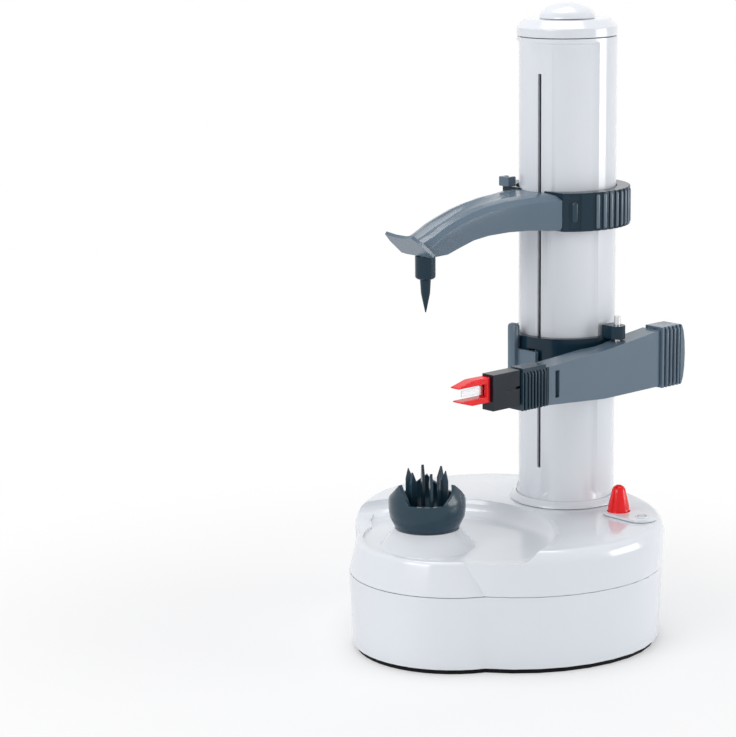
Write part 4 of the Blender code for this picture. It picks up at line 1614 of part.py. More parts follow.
def blade_end():
    """Latch, holder, guard and blade, on the lever's tongue."""
    tongue_left = LEVER_LEFT_X - TONGUE_REACH
    latch_right = LEVER_LEFT_X - LATCH_TRAVEL - SEAT_GAP
    latch_left = latch_right - LATCH_LENGTH
    low = LATCH_CENTRE_HEIGHT - LATCH_HEIGHT / 2.0
    high = LATCH_CENTRE_HEIGHT + LATCH_HEIGHT / 2.0
    latch = block("blade_latch", (latch_left, LATCH_FRONT_Y, low),
                  (latch_right, LATCH_BACK_Y, high), DARK_SLATE)
    join(latch, block("latch_cap", (latch_left + LATCH_RIB_DEPTH, LATCH_FRONT_Y + LATCH_RIB_DEPTH,
                                    high - OVERRUN),
                      (latch_right - LATCH_RIB_DEPTH, LATCH_BACK_Y - LATCH_RIB_DEPTH,
                       high + LATCH_CAP_HEIGHT)))
    cut(latch, block("latch_bore",
                     (latch_left - OVERRUN, TONGUE_Y - TONGUE_DEPTH / 2.0 - SEAT_GAP,
                      LATCH_CENTRE_HEIGHT - TONGUE_HEIGHT / 2.0 - SEAT_GAP),
                     (latch_right + OVERRUN, TONGUE_Y + TONGUE_DEPTH / 2.0 + SEAT_GAP,
                      LATCH_CENTRE_HEIGHT + TONGUE_HEIGHT / 2.0 + SEAT_GAP)))
    pitch = LATCH_LENGTH / LATCH_RIBS
    for i in range(LATCH_RIBS):
        left = latch_left + pitch * (i + LATCH_RIB_SHARES[0])
        cut(latch, block("latch_groove_%d" % i, (left, LATCH_FRONT_Y - OVERRUN, low - OVERRUN),
                         (left + pitch * LATCH_RIB_SHARES[1], LATCH_FRONT_Y + LATCH_RIB_DEPTH,
                          high + LATCH_CAP_HEIGHT + OVERRUN)))

    holder = block("blade_holder", (HOLDER_LEFT_X, HOLDER_FRONT_Y, HOLDER_BOTTOM),
                   (HOLDER_RIGHT_X, HOLDER_BACK_Y, HOLDER_TOP), BLACK_PLASTIC)
    slot_middle = HOLDER_BOTTOM + (HOLDER_TOP - HOLDER_BOTTOM) * HOLDER_SLOT_SHARE
    cut(holder, block("holder_slot", (HOLDER_RIGHT_X - HOLDER_SLOT_LENGTH,
                                      HOLDER_FRONT_Y - OVERRUN,
                                      slot_middle - HOLDER_SLOT_HEIGHT / 2.0),
                      (HOLDER_RIGHT_X + OVERRUN, HOLDER_FRONT_Y + HOLDER_SLOT_HEIGHT,
                       slot_middle + HOLDER_SLOT_HEIGHT / 2.0)))
    cut(holder, block("holder_socket", (tongue_left - SEAT_GAP,
                                        TONGUE_Y - TONGUE_DEPTH / 2.0 - SEAT_GAP,
                                        LATCH_CENTRE_HEIGHT - TONGUE_HEIGHT / 2.0 - SEAT_GAP),
                      (HOLDER_RIGHT_X + OVERRUN, TONGUE_Y + TONGUE_DEPTH / 2.0 + SEAT_GAP,
                       LATCH_CENTRE_HEIGHT + TONGUE_HEIGHT / 2.0 + SEAT_GAP)))

    web_right = HOLDER_LEFT_X - SEAT_GAP
    guard_low = GUARD_LOWER_HEIGHT - GUARD_FINGER / 2.0
    guard_high = GUARD_UPPER_HEIGHT + GUARD_FINGER / 2.0
    tip = GUARD_FINGER * GUARD_TIP_SHARE
    inner_low = GUARD_LOWER_HEIGHT + GUARD_FINGER / 2.0
    inner_high = GUARD_UPPER_HEIGHT - GUARD_FINGER / 2.0
    outline = [(web_right, guard_low), (web_right, guard_high),
               (GUARD_TIP_X + 3.0 * GUARD_FINGER, guard_high),
               (GUARD_TIP_X, guard_high - GUARD_FINGER + tip / 2.0),
               (GUARD_TIP_X, guard_high - GUARD_FINGER), (GUARD_WEB_LEFT_X, inner_high),
               (GUARD_WEB_LEFT_X, inner_low), (GUARD_TIP_X + tip, guard_low + GUARD_FINGER),
               (GUARD_TIP_X + tip, guard_low + GUARD_FINGER - tip / 2.0),
               (GUARD_TIP_X + 3.0 * GUARD_FINGER, guard_low)]
    guard = front_plate("blade_guard", outline, GUARD_Y + GUARD_HALF_DEPTH,
                        GUARD_Y - GUARD_HALF_DEPTH, RED_PLASTIC)
    blade_middle = (inner_low + inner_high) / 2.0
    slot_gap = BLADE_THICKNESS / 2.0 + SEAT_GAP
    cut(guard, block("guard_blade_slot", (GUARD_WEB_LEFT_X - OVERRUN, GUARD_Y - slot_gap,
                                          blade_middle - BLADE_HEIGHT / 2.0 - SEAT_GAP),
                     (web_right + OVERRUN, GUARD_Y + slot_gap,
                      blade_middle + BLADE_HEIGHT / 2.0 + SEAT_GAP)))
    front_plate("peel_blade", [
        (BLADE_LEFT_X, blade_middle - BLADE_HEIGHT / 3.0), (web_right, blade_middle
                                                            - BLADE_HEIGHT / 2.0),
        (web_right, blade_middle + BLADE_HEIGHT / 2.0),
        (BLADE_LEFT_X, blade_middle + BLADE_HEIGHT / 3.0)], GUARD_Y + BLADE_THICKNESS / 2.0,
        GUARD_Y - BLADE_THICKNESS / 2.0, STEEL)


def hang_on_axis(name, at, pieces):
    """Parent the pieces of a moving body to an empty on their joint's axis."""
    axis = bpy.data.objects.new(name, None)
    SHOP.axes.objects.link(axis)
    axis.location = at
    for piece in pieces:
        moved = bpy.data.objects[piece]
        moved.parent = axis
        moved.matrix_parent_inverse = Matrix.Translation([-value for value in at])


def joint_axes():
    """One empty for each moving body, on the axis that the body turns about or slides along."""
    latch_left = LEVER_LEFT_X - LATCH_TRAVEL - SEAT_GAP - LATCH_LENGTH
    tab_x = COLUMN_X + ARM_TAB_X - ARM_TAB_WIDTH
    window_middle = LATCH_CENTRE_HEIGHT + SEAT_GAP
    hang_on_axis("turntable_axis", (0.0, 0.0, 0.0), (
        "turntable_gear", "turntable_spindle", "fruit_cup", "prong_insert"))
    hang_on_axis("transfer_axis", (TRANSFER_X, 0.0, 0.0), ("transfer_gear",))
    hang_on_axis("screw_axis", (SCREW_X, 0.0, 0.0), ("screw_gear", "lead_screw"))
    hang_on_axis("reduction_2_axis", (SECOND_X, SECOND_Y, 0.0), ("reduction_gear_2",))
    hang_on_axis("reduction_1_axis", (FIRST_X, FIRST_Y, 0.0), ("reduction_gear_1",))
    hang_on_axis("motor_axis", (MOTOR_X, MOTOR_Y, 0.0), ("motor_pinion",))
    hang_on_axis("peel_carriage_axis", (COLUMN_X, 0.0, PEEL_BOTTOM_HEIGHT), (
        "peel_collar", "lever_pivot_pin", "lever_spring"))
    hang_on_axis("half_nut_axis", (COLUMN_X - PEEL_OUTER_RADIUS, SLOT_OFFSET_Y, window_middle), (
        "peel_release_tab", "half_nut"))
    hang_on_axis("lever_axis", (PIVOT_X, PIVOT_Y, LATCH_CENTRE_HEIGHT), (
        "peel_lever", "lever_grip", "blade_holder", "blade_guard", "peel_blade"))
    hang_on_axis("latch_axis", (latch_left, TONGUE_Y, LATCH_CENTRE_HEIGHT), ("blade_latch",))
    hang_on_axis("upper_carriage_axis", (COLUMN_X, 0.0, BAND_BOTTOM_HEIGHT), (
        "upper_arm", "upper_band", "band_screw_far", "band_screw_near", "spike_housing"))
    hang_on_axis("spike_axis", (0.0, 0.0, HOUSING_BOTTOM_HEIGHT), ("top_spike",))
    hang_on_axis("arm_release_axis", (tab_x, ARM_TAB_Y, BAND_TOP_HEIGHT), ("upper_release_tab",))
    hang_on_axis("button_axis", (BUTTON_X, BUTTON_Y, PLATE_TOP), ("red_button",))


def build():
    """Make every piece of the peeler."""
    global SHOP
    clear_scene()
    SHOP = Workshop()
    base_upper_shell()
    base_lower_shell()
    bottom_pad_and_door()
    battery_pack()
    gear_frame()
    gear_train()
    turntable()
    column()
    lead_screw()
    switch_group()
    upper_arm()
    upper_band()
    top_spike()
    middle = peel_collar()
    peel_release(middle)
    peel_lever()
    blade_end()
    joint_axes()


build()
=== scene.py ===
"""Electric rotary peeler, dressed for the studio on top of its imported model.

Lengths are in metres in the model's own frame: +Z up, the turning axis of the cup at X = 0, Y = 0,
and the column on the +X side.
"""
import json
import logging
import math
from dataclasses import dataclass, field
from enum import Enum

import bmesh
import bpy
from mathutils import Matrix, Vector

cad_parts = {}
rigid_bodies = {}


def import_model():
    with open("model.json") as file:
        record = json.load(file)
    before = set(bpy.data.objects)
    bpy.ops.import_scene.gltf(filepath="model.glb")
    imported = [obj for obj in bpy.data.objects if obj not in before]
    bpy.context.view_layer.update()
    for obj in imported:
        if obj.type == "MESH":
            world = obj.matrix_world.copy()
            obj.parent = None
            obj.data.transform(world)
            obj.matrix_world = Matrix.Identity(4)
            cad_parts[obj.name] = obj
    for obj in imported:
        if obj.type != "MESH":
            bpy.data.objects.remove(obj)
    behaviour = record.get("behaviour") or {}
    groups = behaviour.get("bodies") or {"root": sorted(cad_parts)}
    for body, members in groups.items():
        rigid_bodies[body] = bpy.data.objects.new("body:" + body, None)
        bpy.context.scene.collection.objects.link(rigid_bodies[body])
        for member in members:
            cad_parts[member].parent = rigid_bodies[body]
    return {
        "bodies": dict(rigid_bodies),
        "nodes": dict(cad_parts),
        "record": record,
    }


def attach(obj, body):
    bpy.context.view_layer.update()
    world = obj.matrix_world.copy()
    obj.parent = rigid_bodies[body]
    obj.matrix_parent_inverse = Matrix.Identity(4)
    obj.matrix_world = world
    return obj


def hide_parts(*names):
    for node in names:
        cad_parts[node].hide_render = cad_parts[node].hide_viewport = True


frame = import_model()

LOG = logging.getLogger("rotary_peeler")
MM = 0.001
MERGE_REACH = 0.004 * MM
FLAT_DEG = 0.4
CRISP_DEG = 34.0
EDGE_SEGMENTS = 2
REPEAT_CRISP_DEG = 50.0
BUMP_STRENGTH = 0.6
BRUSH_STRETCH = 0.04
DRIFT_OCTAVES = 2.0
GRAIN_OCTAVES = 3.0
MARK_OCTAVES = 4.0
RGB = tuple[float, float, float]


class Slot(Enum):
    """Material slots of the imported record."""

    WHITE = "white_gloss"
    INNER_WHITE = "inner_white"
    SLATE = "slate_gloss"
    DARK_SLATE = "dark_slate"
    BLACK = "black_plastic"
    RED = "red_gloss"
    RUBBER = "black_rubber"
    STEEL = "steel"
    NYLON = "gear_nylon"
    WRAP = "cell_wrap"
    BOARD = "board_green"
    LENS = "lens_clear"


class Texture(Enum):
    """Kinds of surface that the shared shader groups make."""

    MOULDED = "moulded_surface"
    BRUSHED = "brushed_surface"


class ShaderGroups:
    """The shader groups that the finishes share, each made once."""

    def __init__(self) -> None:
        """Make both groups."""
        self.trees: dict[Texture, bpy.types.NodeTree] = {
            Texture.MOULDED: self._surface(Texture.MOULDED.value, brushed=False),
            Texture.BRUSHED: self._surface(Texture.BRUSHED.value, brushed=True),
        }

    @staticmethod
    def _noise(tree: bpy.types.NodeTree, vector: bpy.types.NodeSocket,
               scale: bpy.types.NodeSocket, detail: float) -> bpy.types.NodeSocket:
        """Add a noise texture.

        Args:
            tree: Group that takes the node.
            vector: Socket with the point to read.
            scale: Socket with the texture's scale.
            detail: Number of octaves.

        Returns:
            The noise's value socket.
        """
        noise = tree.nodes.new("ShaderNodeTexNoise")
        noise.inputs["Detail"].default_value = detail
        tree.links.new(vector, noise.inputs["Vector"])
        tree.links.new(scale, noise.inputs["Scale"])
        return noise.outputs["Fac"]

    def _surface(self, name: str, brushed: bool) -> bpy.types.NodeTree:
        """Build one group of colour drift, grain and handling marks.

        Args:
            name: Name of the group.
            brushed: Whether the grain is drawn out along the piece's own X axis.

        Returns:
            The shader group.
        """
        tree = bpy.data.node_groups.new(name, "ShaderNodeTree")
        for label, kind in (("Colour", "NodeSocketColor"), ("Tint", "NodeSocketColor"),
                            ("Drift Scale", "NodeSocketFloat"), ("Grain Scale", "NodeSocketFloat"),
                            ("Mark Scale", "NodeSocketFloat"), ("Roughness", "NodeSocketFloat"),
                            ("Spread", "NodeSocketFloat")):
            tree.interface.new_socket(name=label, in_out="INPUT", socket_type=kind)
        for label, kind in (("Colour", "NodeSocketColor"), ("Roughness", "NodeSocketFloat"),
                            ("Height", "NodeSocketFloat")):
            tree.interface.new_socket(name=label, in_out="OUTPUT", socket_type=kind)
        given = tree.nodes.new("NodeGroupInput")
        result = tree.nodes.new("NodeGroupOutput")
        point = tree.nodes.new("ShaderNodeTexCoord").outputs["Object"]
        stretch = tree.nodes.new("ShaderNodeMapping")
        stretch.inputs["Scale"].default_value = (BRUSH_STRETCH, 1.0, 1.0) if brushed else (1.0, 1.0, 1.0)
        tree.links.new(point, stretch.inputs["Vector"])
        drift = self._noise(tree, point, given.outputs["Drift Scale"], DRIFT_OCTAVES)
        grain = self._noise(tree, stretch.outputs["Vector"], given.outputs["Grain Scale"],
                            GRAIN_OCTAVES)
        marks = self._noise(tree, stretch.outputs["Vector"], given.outputs["Mark Scale"],
                            MARK_OCTAVES)
        blend = tree.nodes.new("ShaderNodeMix")
        blend.data_type = "RGBA"
        tree.links.new(drift, blend.inputs["Factor"])
        tree.links.new(given.outputs["Colour"], blend.inputs["A"])
        tree.links.new(given.outputs["Tint"], blend.inputs["B"])
        tree.links.new(blend.outputs["Result"], result.inputs["Colour"])
        centred = tree.nodes.new("ShaderNodeMath")
        centred.operation = "SUBTRACT"
        centred.inputs[1].default_value = 0.5
        tree.links.new(marks, centred.inputs[0])
        rough = tree.nodes.new("ShaderNodeMath")
        rough.operation = "MULTIPLY_ADD"
        rough.use_clamp = True
        tree.links.new(centred.outputs[0], rough.inputs[0])
        tree.links.new(given.outputs["Spread"], rough.inputs[1])
        tree.links.new(given.outputs["Roughness"], rough.inputs[2])
        tree.links.new(rough.outputs[0], result.inputs["Roughness"])
        tree.links.new(grain, result.inputs["Height"])
        return tree


@dataclass(frozen=True)
class Finish:
    """One finish: its colours, how its surface varies, and its gloss."""

    name: str
    colour: RGB
    tint: RGB
    roughness: float
    spread: float = 0.08
    drift_scale: float = 18.0
    grain_scale: float = 900.0
    mark_scale: float = 140.0
    grain_depth: float = 0.02 * MM
    metallic: float = 0.0
    coat: float = 0.0
    coat_roughness: float = 0.08
    specular: float = 0.5
    texture: Texture = Texture.MOULDED

    def material(self, groups: ShaderGroups) -> bpy.types.Material:
        """The finish as a material, made once.

        Args:
            groups: Shared shader groups.

        Returns:
            The material.
        """
        known = bpy.data.materials.get(self.name)
        if known is not None:
            return known
        made = bpy.data.materials.new(self.name)
        made.use_nodes = True
        tree = made.node_tree
        shader = tree.nodes["Principled BSDF"]
        group = tree.nodes.new("ShaderNodeGroup")
        group.node_tree = groups.trees[self.texture]
        group.inputs["Colour"].default_value = (*self.colour, 1.0)
        group.inputs["Tint"].default_value = (*self.tint, 1.0)
        group.inputs["Drift Scale"].default_value = self.drift_scale
        group.inputs["Grain Scale"].default_value = self.grain_scale
        group.inputs["Mark Scale"].default_value = self.mark_scale
        group.inputs["Roughness"].default_value = self.roughness
        group.inputs["Spread"].default_value = self.spread
        bump = tree.nodes.new("ShaderNodeBump")
        bump.inputs["Strength"].default_value = BUMP_STRENGTH
        bump.inputs["Distance"].default_value = self.grain_depth
        tree.links.new(group.outputs["Height"], bump.inputs["Height"])
        tree.links.new(group.outputs["Colour"], shader.inputs["Base Color"])
        tree.links.new(group.outputs["Roughness"], shader.inputs["Roughness"])
        tree.links.new(bump.outputs["Normal"], shader.inputs["Normal"])
        shader.inputs["Metallic"].default_value = self.metallic
        shader.inputs["Specular IOR Level"].default_value = self.specular
        shader.inputs["Coat Weight"].default_value = self.coat
        shader.inputs["Coat Roughness"].default_value = self.coat_roughness
        return made


FINISHES: dict[Slot, Finish] = {
    Slot.WHITE: Finish("gloss_white_abs", (0.80, 0.825, 0.865), (0.75, 0.78, 0.83), 0.16,
                       0.06, coat=0.3),
    Slot.INNER_WHITE: Finish("satin_white_moulding", (0.78, 0.78, 0.76), (0.72, 0.72, 0.69), 0.46,
                             grain_depth=0.05 * MM),
    Slot.SLATE: Finish("gloss_slate_abs", (0.115, 0.168, 0.222), (0.098, 0.146, 0.196), 0.2,
                       0.08),
    Slot.DARK_SLATE: Finish("dark_slate_moulding", (0.020, 0.050, 0.074), (0.015, 0.040, 0.061),
                            0.2, 0.08, specular=0.35),
    Slot.BLACK: Finish("black_moulding", (0.003, 0.008, 0.015), (0.005, 0.011, 0.020), 0.22,
                       0.08, specular=0.3),
    Slot.RED: Finish("gloss_red_moulding", (0.92, 0.006, 0.010), (0.86, 0.004, 0.008), 0.2,
                     0.06, specular=0.35),
    Slot.RUBBER: Finish("black_rubber_pad", (0.004, 0.004, 0.005), (0.007, 0.007, 0.008), 0.72,
                        0.12, grain_scale=1500.0, grain_depth=0.12 * MM, specular=0.15),
    Slot.STEEL: Finish("brushed_steel_strip", (0.66, 0.67, 0.69), (0.55, 0.56, 0.58), 0.27,
                       0.16, grain_scale=2600.0, mark_scale=900.0, grain_depth=0.015 * MM,
                       metallic=1.0, texture=Texture.BRUSHED),
    Slot.NYLON: Finish("natural_nylon", (0.80, 0.78, 0.70), (0.74, 0.72, 0.62), 0.5,
                       grain_depth=0.04 * MM),
    Slot.WRAP: Finish("cell_wrap_film", (0.10, 0.11, 0.13), (0.14, 0.15, 0.17), 0.36, coat=0.3),
    Slot.BOARD: Finish("solder_mask", (0.025, 0.17, 0.06), (0.018, 0.13, 0.045), 0.4,
                       mark_scale=500.0, coat=0.2),
    Slot.LENS: Finish("frosted_lens", (0.50, 0.53, 0.56), (0.42, 0.45, 0.48), 0.16, coat=0.6),
}
# Painted shade: a darker copy of the slate plastic, whose colour paints the shade and dark reflection
# seen on the band, spike housing, spike and collar.
PAINTED_SHADE_SLATE = Finish("painted_shade_slate_abs", (0.010, 0.034, 0.055), (0.008, 0.027, 0.045), 0.16,
                    0.06, specular=0.25)


class MeshTools:
    """Mesh helpers that the sub-assemblies share."""

    @staticmethod
    def link(name: str, mesh: bpy.types.Mesh) -> bpy.types.Object:
        """Put a mesh into the scene at the origin.

        Args:
            name: Name of the new piece.
            mesh: Its mesh.

        Returns:
            The new object.
        """
        made = bpy.data.objects.new(name, mesh)
        bpy.context.scene.collection.objects.link(made)
        return made

    @staticmethod
    def smooth(mesh: bpy.types.Mesh, degrees: float) -> None:
        """Shade a mesh smooth with sharp edges over an angle.

        Args:
            mesh: Mesh to shade.
            degrees: Angle past which an edge stays crisp.
        """
        mesh.shade_smooth()
        mesh.set_sharp_from_angle(angle=math.radians(degrees))

    @staticmethod
    def lofted(name: str, rings: list[list[Vector]]) -> bpy.types.Mesh:
        """Join equal rings of points and close both ends.

        Args:
            name: Name of the mesh.
            rings: Rings of points, one after another.

        Returns:
            A closed mesh with its faces outwards.
        """
        mesh = bpy.data.meshes.new(name)
        shape = bmesh.new()
        rows = [[shape.verts.new(point) for point in ring] for ring in rings]
        count = len(rows[0])
        for lower, upper in zip(rows, rows[1:]):
            for i in range(count):
                j = (i + 1) % count
                shape.faces.new((lower[i], lower[j], upper[j], upper[i]))
        shape.faces.new(list(reversed(rows[0])))
        shape.faces.new(rows[-1])
        bmesh.ops.recalc_face_normals(shape, faces=shape.faces)
        shape.to_mesh(mesh)
        shape.free()
        return mesh

    @staticmethod
    def round_bar(name: str, radius: float, depth_share: float, bottom: float, top: float,
                  sides: int = 12, steps: int = 4) -> bpy.types.Mesh:
        """An upright bar with rounded ends, flatter along X.

        Args:
            name: Name of the mesh.
            radius: Half width across Y.
            depth_share: Half depth along X as a share of the radius.
            bottom: Lowest height.
            top: Highest height.
            sides: Points round the bar.
            steps: Rings in each rounded end.

        Returns:
            The bar's mesh, centred on the Z axis.
        """
        low = [(bottom + radius * (1.0 - math.cos(math.pi / 2.0 * i / steps)),
                radius * math.sin(math.pi / 2.0 * i / steps)) for i in range(1, steps + 1)]
        high = [(top - (z - bottom), r) for z, r in reversed(low)]
        rings = []
        for z, r in low + high:
            rings.append([Vector((r * depth_share * math.cos(2.0 * math.pi * k / sides),
                                  r * math.sin(2.0 * math.pi * k / sides), z))
                          for k in range(sides)])
        return MeshTools.lofted(name, rings)

    @staticmethod
    def lathe(name: str, profile: list[tuple[float, float]], centre: tuple[float, float],
              sides: int = 48) -> bpy.types.Mesh:
        """Turn a closed profile into a ring round an upright axis.

        Args:
            name: Name of the mesh.
            profile: Closed outline of (radius, height) points.
            centre: X and Y of the axis.
            sides: Steps round the axis.

        Returns:
            The ring's mesh.
        """
        mesh = bpy.data.meshes.new(name)
        shape = bmesh.new()
        rows = []
        for k in range(sides):
            angle = 2.0 * math.pi * k / sides
            rows.append([shape.verts.new((centre[0] + r * math.cos(angle),
                                          centre[1] + r * math.sin(angle), z))
                         for r, z in profile])
        for k in range(sides):
            near, far = rows[k], rows[(k + 1) % sides]
            for i in range(len(profile)):
                j = (i + 1) % len(profile)
                shape.faces.new((near[i], far[i], far[j], near[j]))
        bmesh.ops.recalc_face_normals(shape, faces=shape.faces)
        shape.to_mesh(mesh)
        shape.free()
        return mesh


class RepeatTree:
    """Geometry Nodes tree that repeats a shape along a line or round an arc."""

    NAME = "repeat_on_path"

    def __init__(self) -> None:
        """Build the tree with its named inputs."""
        tree = bpy.data.node_groups.new(self.NAME, "GeometryNodeTree")
        for label, kind in (("Shape", "NodeSocketGeometry"), ("Count", "NodeSocketInt"),
                            ("Start", "NodeSocketVector"), ("Step", "NodeSocketVector"),
                            ("Radius", "NodeSocketFloat"), ("First Angle", "NodeSocketFloat"),
                            ("Angle Step", "NodeSocketFloat"), ("Finish", "NodeSocketMaterial")):
            tree.interface.new_socket(name=label, in_out="INPUT", socket_type=kind)
        tree.interface.new_socket(name="Shape", in_out="OUTPUT", socket_type="NodeSocketGeometry")
        nodes, links = tree.nodes, tree.links
        given = nodes.new("NodeGroupInput")
        result = nodes.new("NodeGroupOutput")
        row = nodes.new("GeometryNodeMeshLine")
        row.mode = "OFFSET"
        links.new(given.outputs["Count"], row.inputs["Count"])
        links.new(given.outputs["Start"], row.inputs["Start Location"])
        links.new(given.outputs["Step"], row.inputs["Offset"])
        angle = nodes.new("ShaderNodeMath")
        angle.operation = "MULTIPLY_ADD"
        links.new(nodes.new("GeometryNodeInputIndex").outputs["Index"], angle.inputs[0])
        links.new(given.outputs["Angle Step"], angle.inputs[1])
        links.new(given.outputs["First Angle"], angle.inputs[2])
        spoke = nodes.new("ShaderNodeCombineXYZ")
        for axis, operation in (("X", "COSINE"), ("Y", "SINE")):
            wave = nodes.new("ShaderNodeMath")
            wave.operation = operation
            links.new(angle.outputs[0], wave.inputs[0])
            links.new(wave.outputs[0], spoke.inputs[axis])
        reach = nodes.new("ShaderNodeVectorMath")
        reach.operation = "SCALE"
        links.new(spoke.outputs["Vector"], reach.inputs[0])
        links.new(given.outputs["Radius"], reach.inputs["Scale"])
        place = nodes.new("GeometryNodeSetPosition")
        links.new(row.outputs["Mesh"], place.inputs["Geometry"])
        links.new(reach.outputs["Vector"], place.inputs["Offset"])
        euler = nodes.new("ShaderNodeCombineXYZ")
        links.new(angle.outputs[0], euler.inputs["Z"])
        turn = nodes.new("FunctionNodeEulerToRotation")
        links.new(euler.outputs["Vector"], turn.inputs["Euler"])
        stamp = nodes.new("GeometryNodeInstanceOnPoints")
        links.new(place.outputs["Geometry"], stamp.inputs["Points"])
        links.new(given.outputs["Shape"], stamp.inputs["Instance"])
        links.new(turn.outputs["Rotation"], stamp.inputs["Rotation"])
        real = nodes.new("GeometryNodeRealizeInstances")
        links.new(stamp.outputs["Instances"], real.inputs["Geometry"])
        dress = nodes.new("GeometryNodeSetMaterial")
        links.new(real.outputs["Geometry"], dress.inputs["Geometry"])
        links.new(given.outputs["Finish"], dress.inputs["Material"])
        links.new(dress.outputs["Geometry"], result.inputs["Shape"])
        self.tree = tree

    def spread(self, name: str, shape: bpy.types.Mesh, finish: bpy.types.Material,
               values: dict[str, object]) -> bpy.types.Object:
        """Repeat a shape and return the result as a plain mesh.

        Args:
            name: Name of the finished piece.
            shape: Mesh that is repeated.
            finish: Its material.
            values: Values of the tree's named inputs.

        Returns:
            The finished piece, at the origin.
        """
        made = MeshTools.link(name, shape)
        step = made.modifiers.new("repeat", "NODES")
        step.node_group = self.tree
        sockets = {item.name: item.identifier for item in self.tree.interface.items_tree
                   if item.item_type == "SOCKET" and item.in_out == "INPUT"}
        for label, value in values.items():
            step[sockets[label]] = value
        step[sockets["Finish"]] = finish
        bpy.context.view_layer.update()
        shown = made.evaluated_get(bpy.context.evaluated_depsgraph_get())
        mesh = bpy.data.meshes.new_from_object(shown)
        made.modifiers.remove(step)
        mesh.name = name
        made.data = mesh
        MeshTools.smooth(mesh, REPEAT_CRISP_DEG)
        return made


class Bench:
    """What every sub-assembly works with: the frame, the finishes and the trees."""

    def __init__(self) -> None:
        """Read the record's bodies and slots and make the shared groups."""
        record = frame["record"]
        self.body_of: dict[str, str] = {node: body for body, nodes
                                        in record["behaviour"]["bodies"].items() for node in nodes}
        self.slot_of: dict[str, Slot] = {row["node"]: Slot(row["material_slot"])
                                         for row in record["subparts"]}
        self.groups = ShaderGroups()
        self.repeat = RepeatTree()

    def material(self, slot: Slot) -> bpy.types.Material:
        """Material of a slot."""
        return FINISHES[slot].material(self.groups)

    def dress_nodes(self) -> int:
        """Give every CAD node its slot's material.

        Returns:
            The number of nodes dressed.
        """
        for name, node in frame["nodes"].items():
            node.data.materials.clear()
            node.data.materials.append(self.material(self.slot_of[name]))
        return len(frame["nodes"])

    def skin(self, node: str, edge: float, finish: Finish | None = None) -> bpy.types.Object:
        """A merged copy of a CAD node with soft edges, which is shown in its place.

        Args:
            node: Name of the CAD node.
            edge: Width of the rounded edges, or 0 for none.
            finish: Finish to use, if not the one of the node's slot.

        Returns:
            The finished piece.
        """
        mesh = frame["nodes"][node].data.copy()
        mesh.name = node + "_skin"
        shape = bmesh.new()
        shape.from_mesh(mesh)
        bmesh.ops.remove_doubles(shape, verts=shape.verts, dist=MERGE_REACH)
        bmesh.ops.dissolve_limit(shape, angle_limit=math.radians(FLAT_DEG), verts=shape.verts,
                                 edges=shape.edges, use_dissolve_boundaries=False)
        bmesh.ops.recalc_face_normals(shape, faces=shape.faces)
        shape.to_mesh(mesh)
        shape.free()
        if "custom_normal" in mesh.attributes:
            mesh.attributes.remove(mesh.attributes["custom_normal"])
        MeshTools.smooth(mesh, CRISP_DEG)
        slot = self.slot_of[node]
        mesh.materials.clear()
        mesh.materials.append((finish or FINISHES[slot]).material(self.groups))
        made = MeshTools.link(node + "_skin", mesh)
        if edge:
            soft = made.modifiers.new("soft_edges", "BEVEL")
            soft.width = edge
            soft.segments = EDGE_SEGMENTS
            soft.limit_method = "ANGLE"
            soft.angle_limit = math.radians(CRISP_DEG)
            soft.miter_outer = "MITER_ARC"
            soft.harden_normals = True
        self.attach(made, self.body_of[node], slot, node)
        return made

    def attach(self, piece: bpy.types.Object, body: str, slot: Slot, *nodes: str) -> None:
        """Say what a finished piece rides on and which nodes it replaces.

        Args:
            piece: The finished piece.
            body: Body that it moves with.
            slot: Material slot of the record; not used.
            nodes: CAD nodes that it stands for.
        """
        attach(piece, body)
        if nodes:
            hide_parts(*nodes)
        LOG.info("piece %s on body %s", piece.name, body)


@dataclass
class SubAssembly:
    """A group of pieces whose nodes are shown through soft-edged skins."""

    bench: Bench
    skins: dict[str, float] = field(default_factory=dict)
    finishes: dict[str, Finish] = field(default_factory=dict)

    def build(self) -> None:
        """Make every piece of the group."""
        for node, edge in self.skins.items():
            self.bench.skin(node, edge * MM, finish=self.finishes.get(node))
        self.details()

    def details(self) -> None:
        """Add what the group has beyond its skins; nothing by default."""


@dataclass
class Base(SubAssembly):
    """Two-lobed base with its pad and the low-voltage inlet."""

    skins: dict[str, float] = field(default_factory=lambda: {
        "base_upper_shell": 0.5, "base_lower_shell": 0.4, "bottom_pad": 0.3, "dc_inlet": 0.2})


@dataclass
class Turntable(SubAssembly):
    """Pronged cup on its turning spindle."""

    skins: dict[str, float] = field(default_factory=lambda: {
        "fruit_cup": 0.3, "prong_insert": 0.15})


@dataclass
class Column(SubAssembly):
    """Column with its foot ring, cap and dome."""

    skins: dict[str, float] = field(default_factory=lambda: {
        "column_tube": 0.25, "column_foot_ring": 0.3, "column_cap": 0.5, "cap_dome": 0.0})


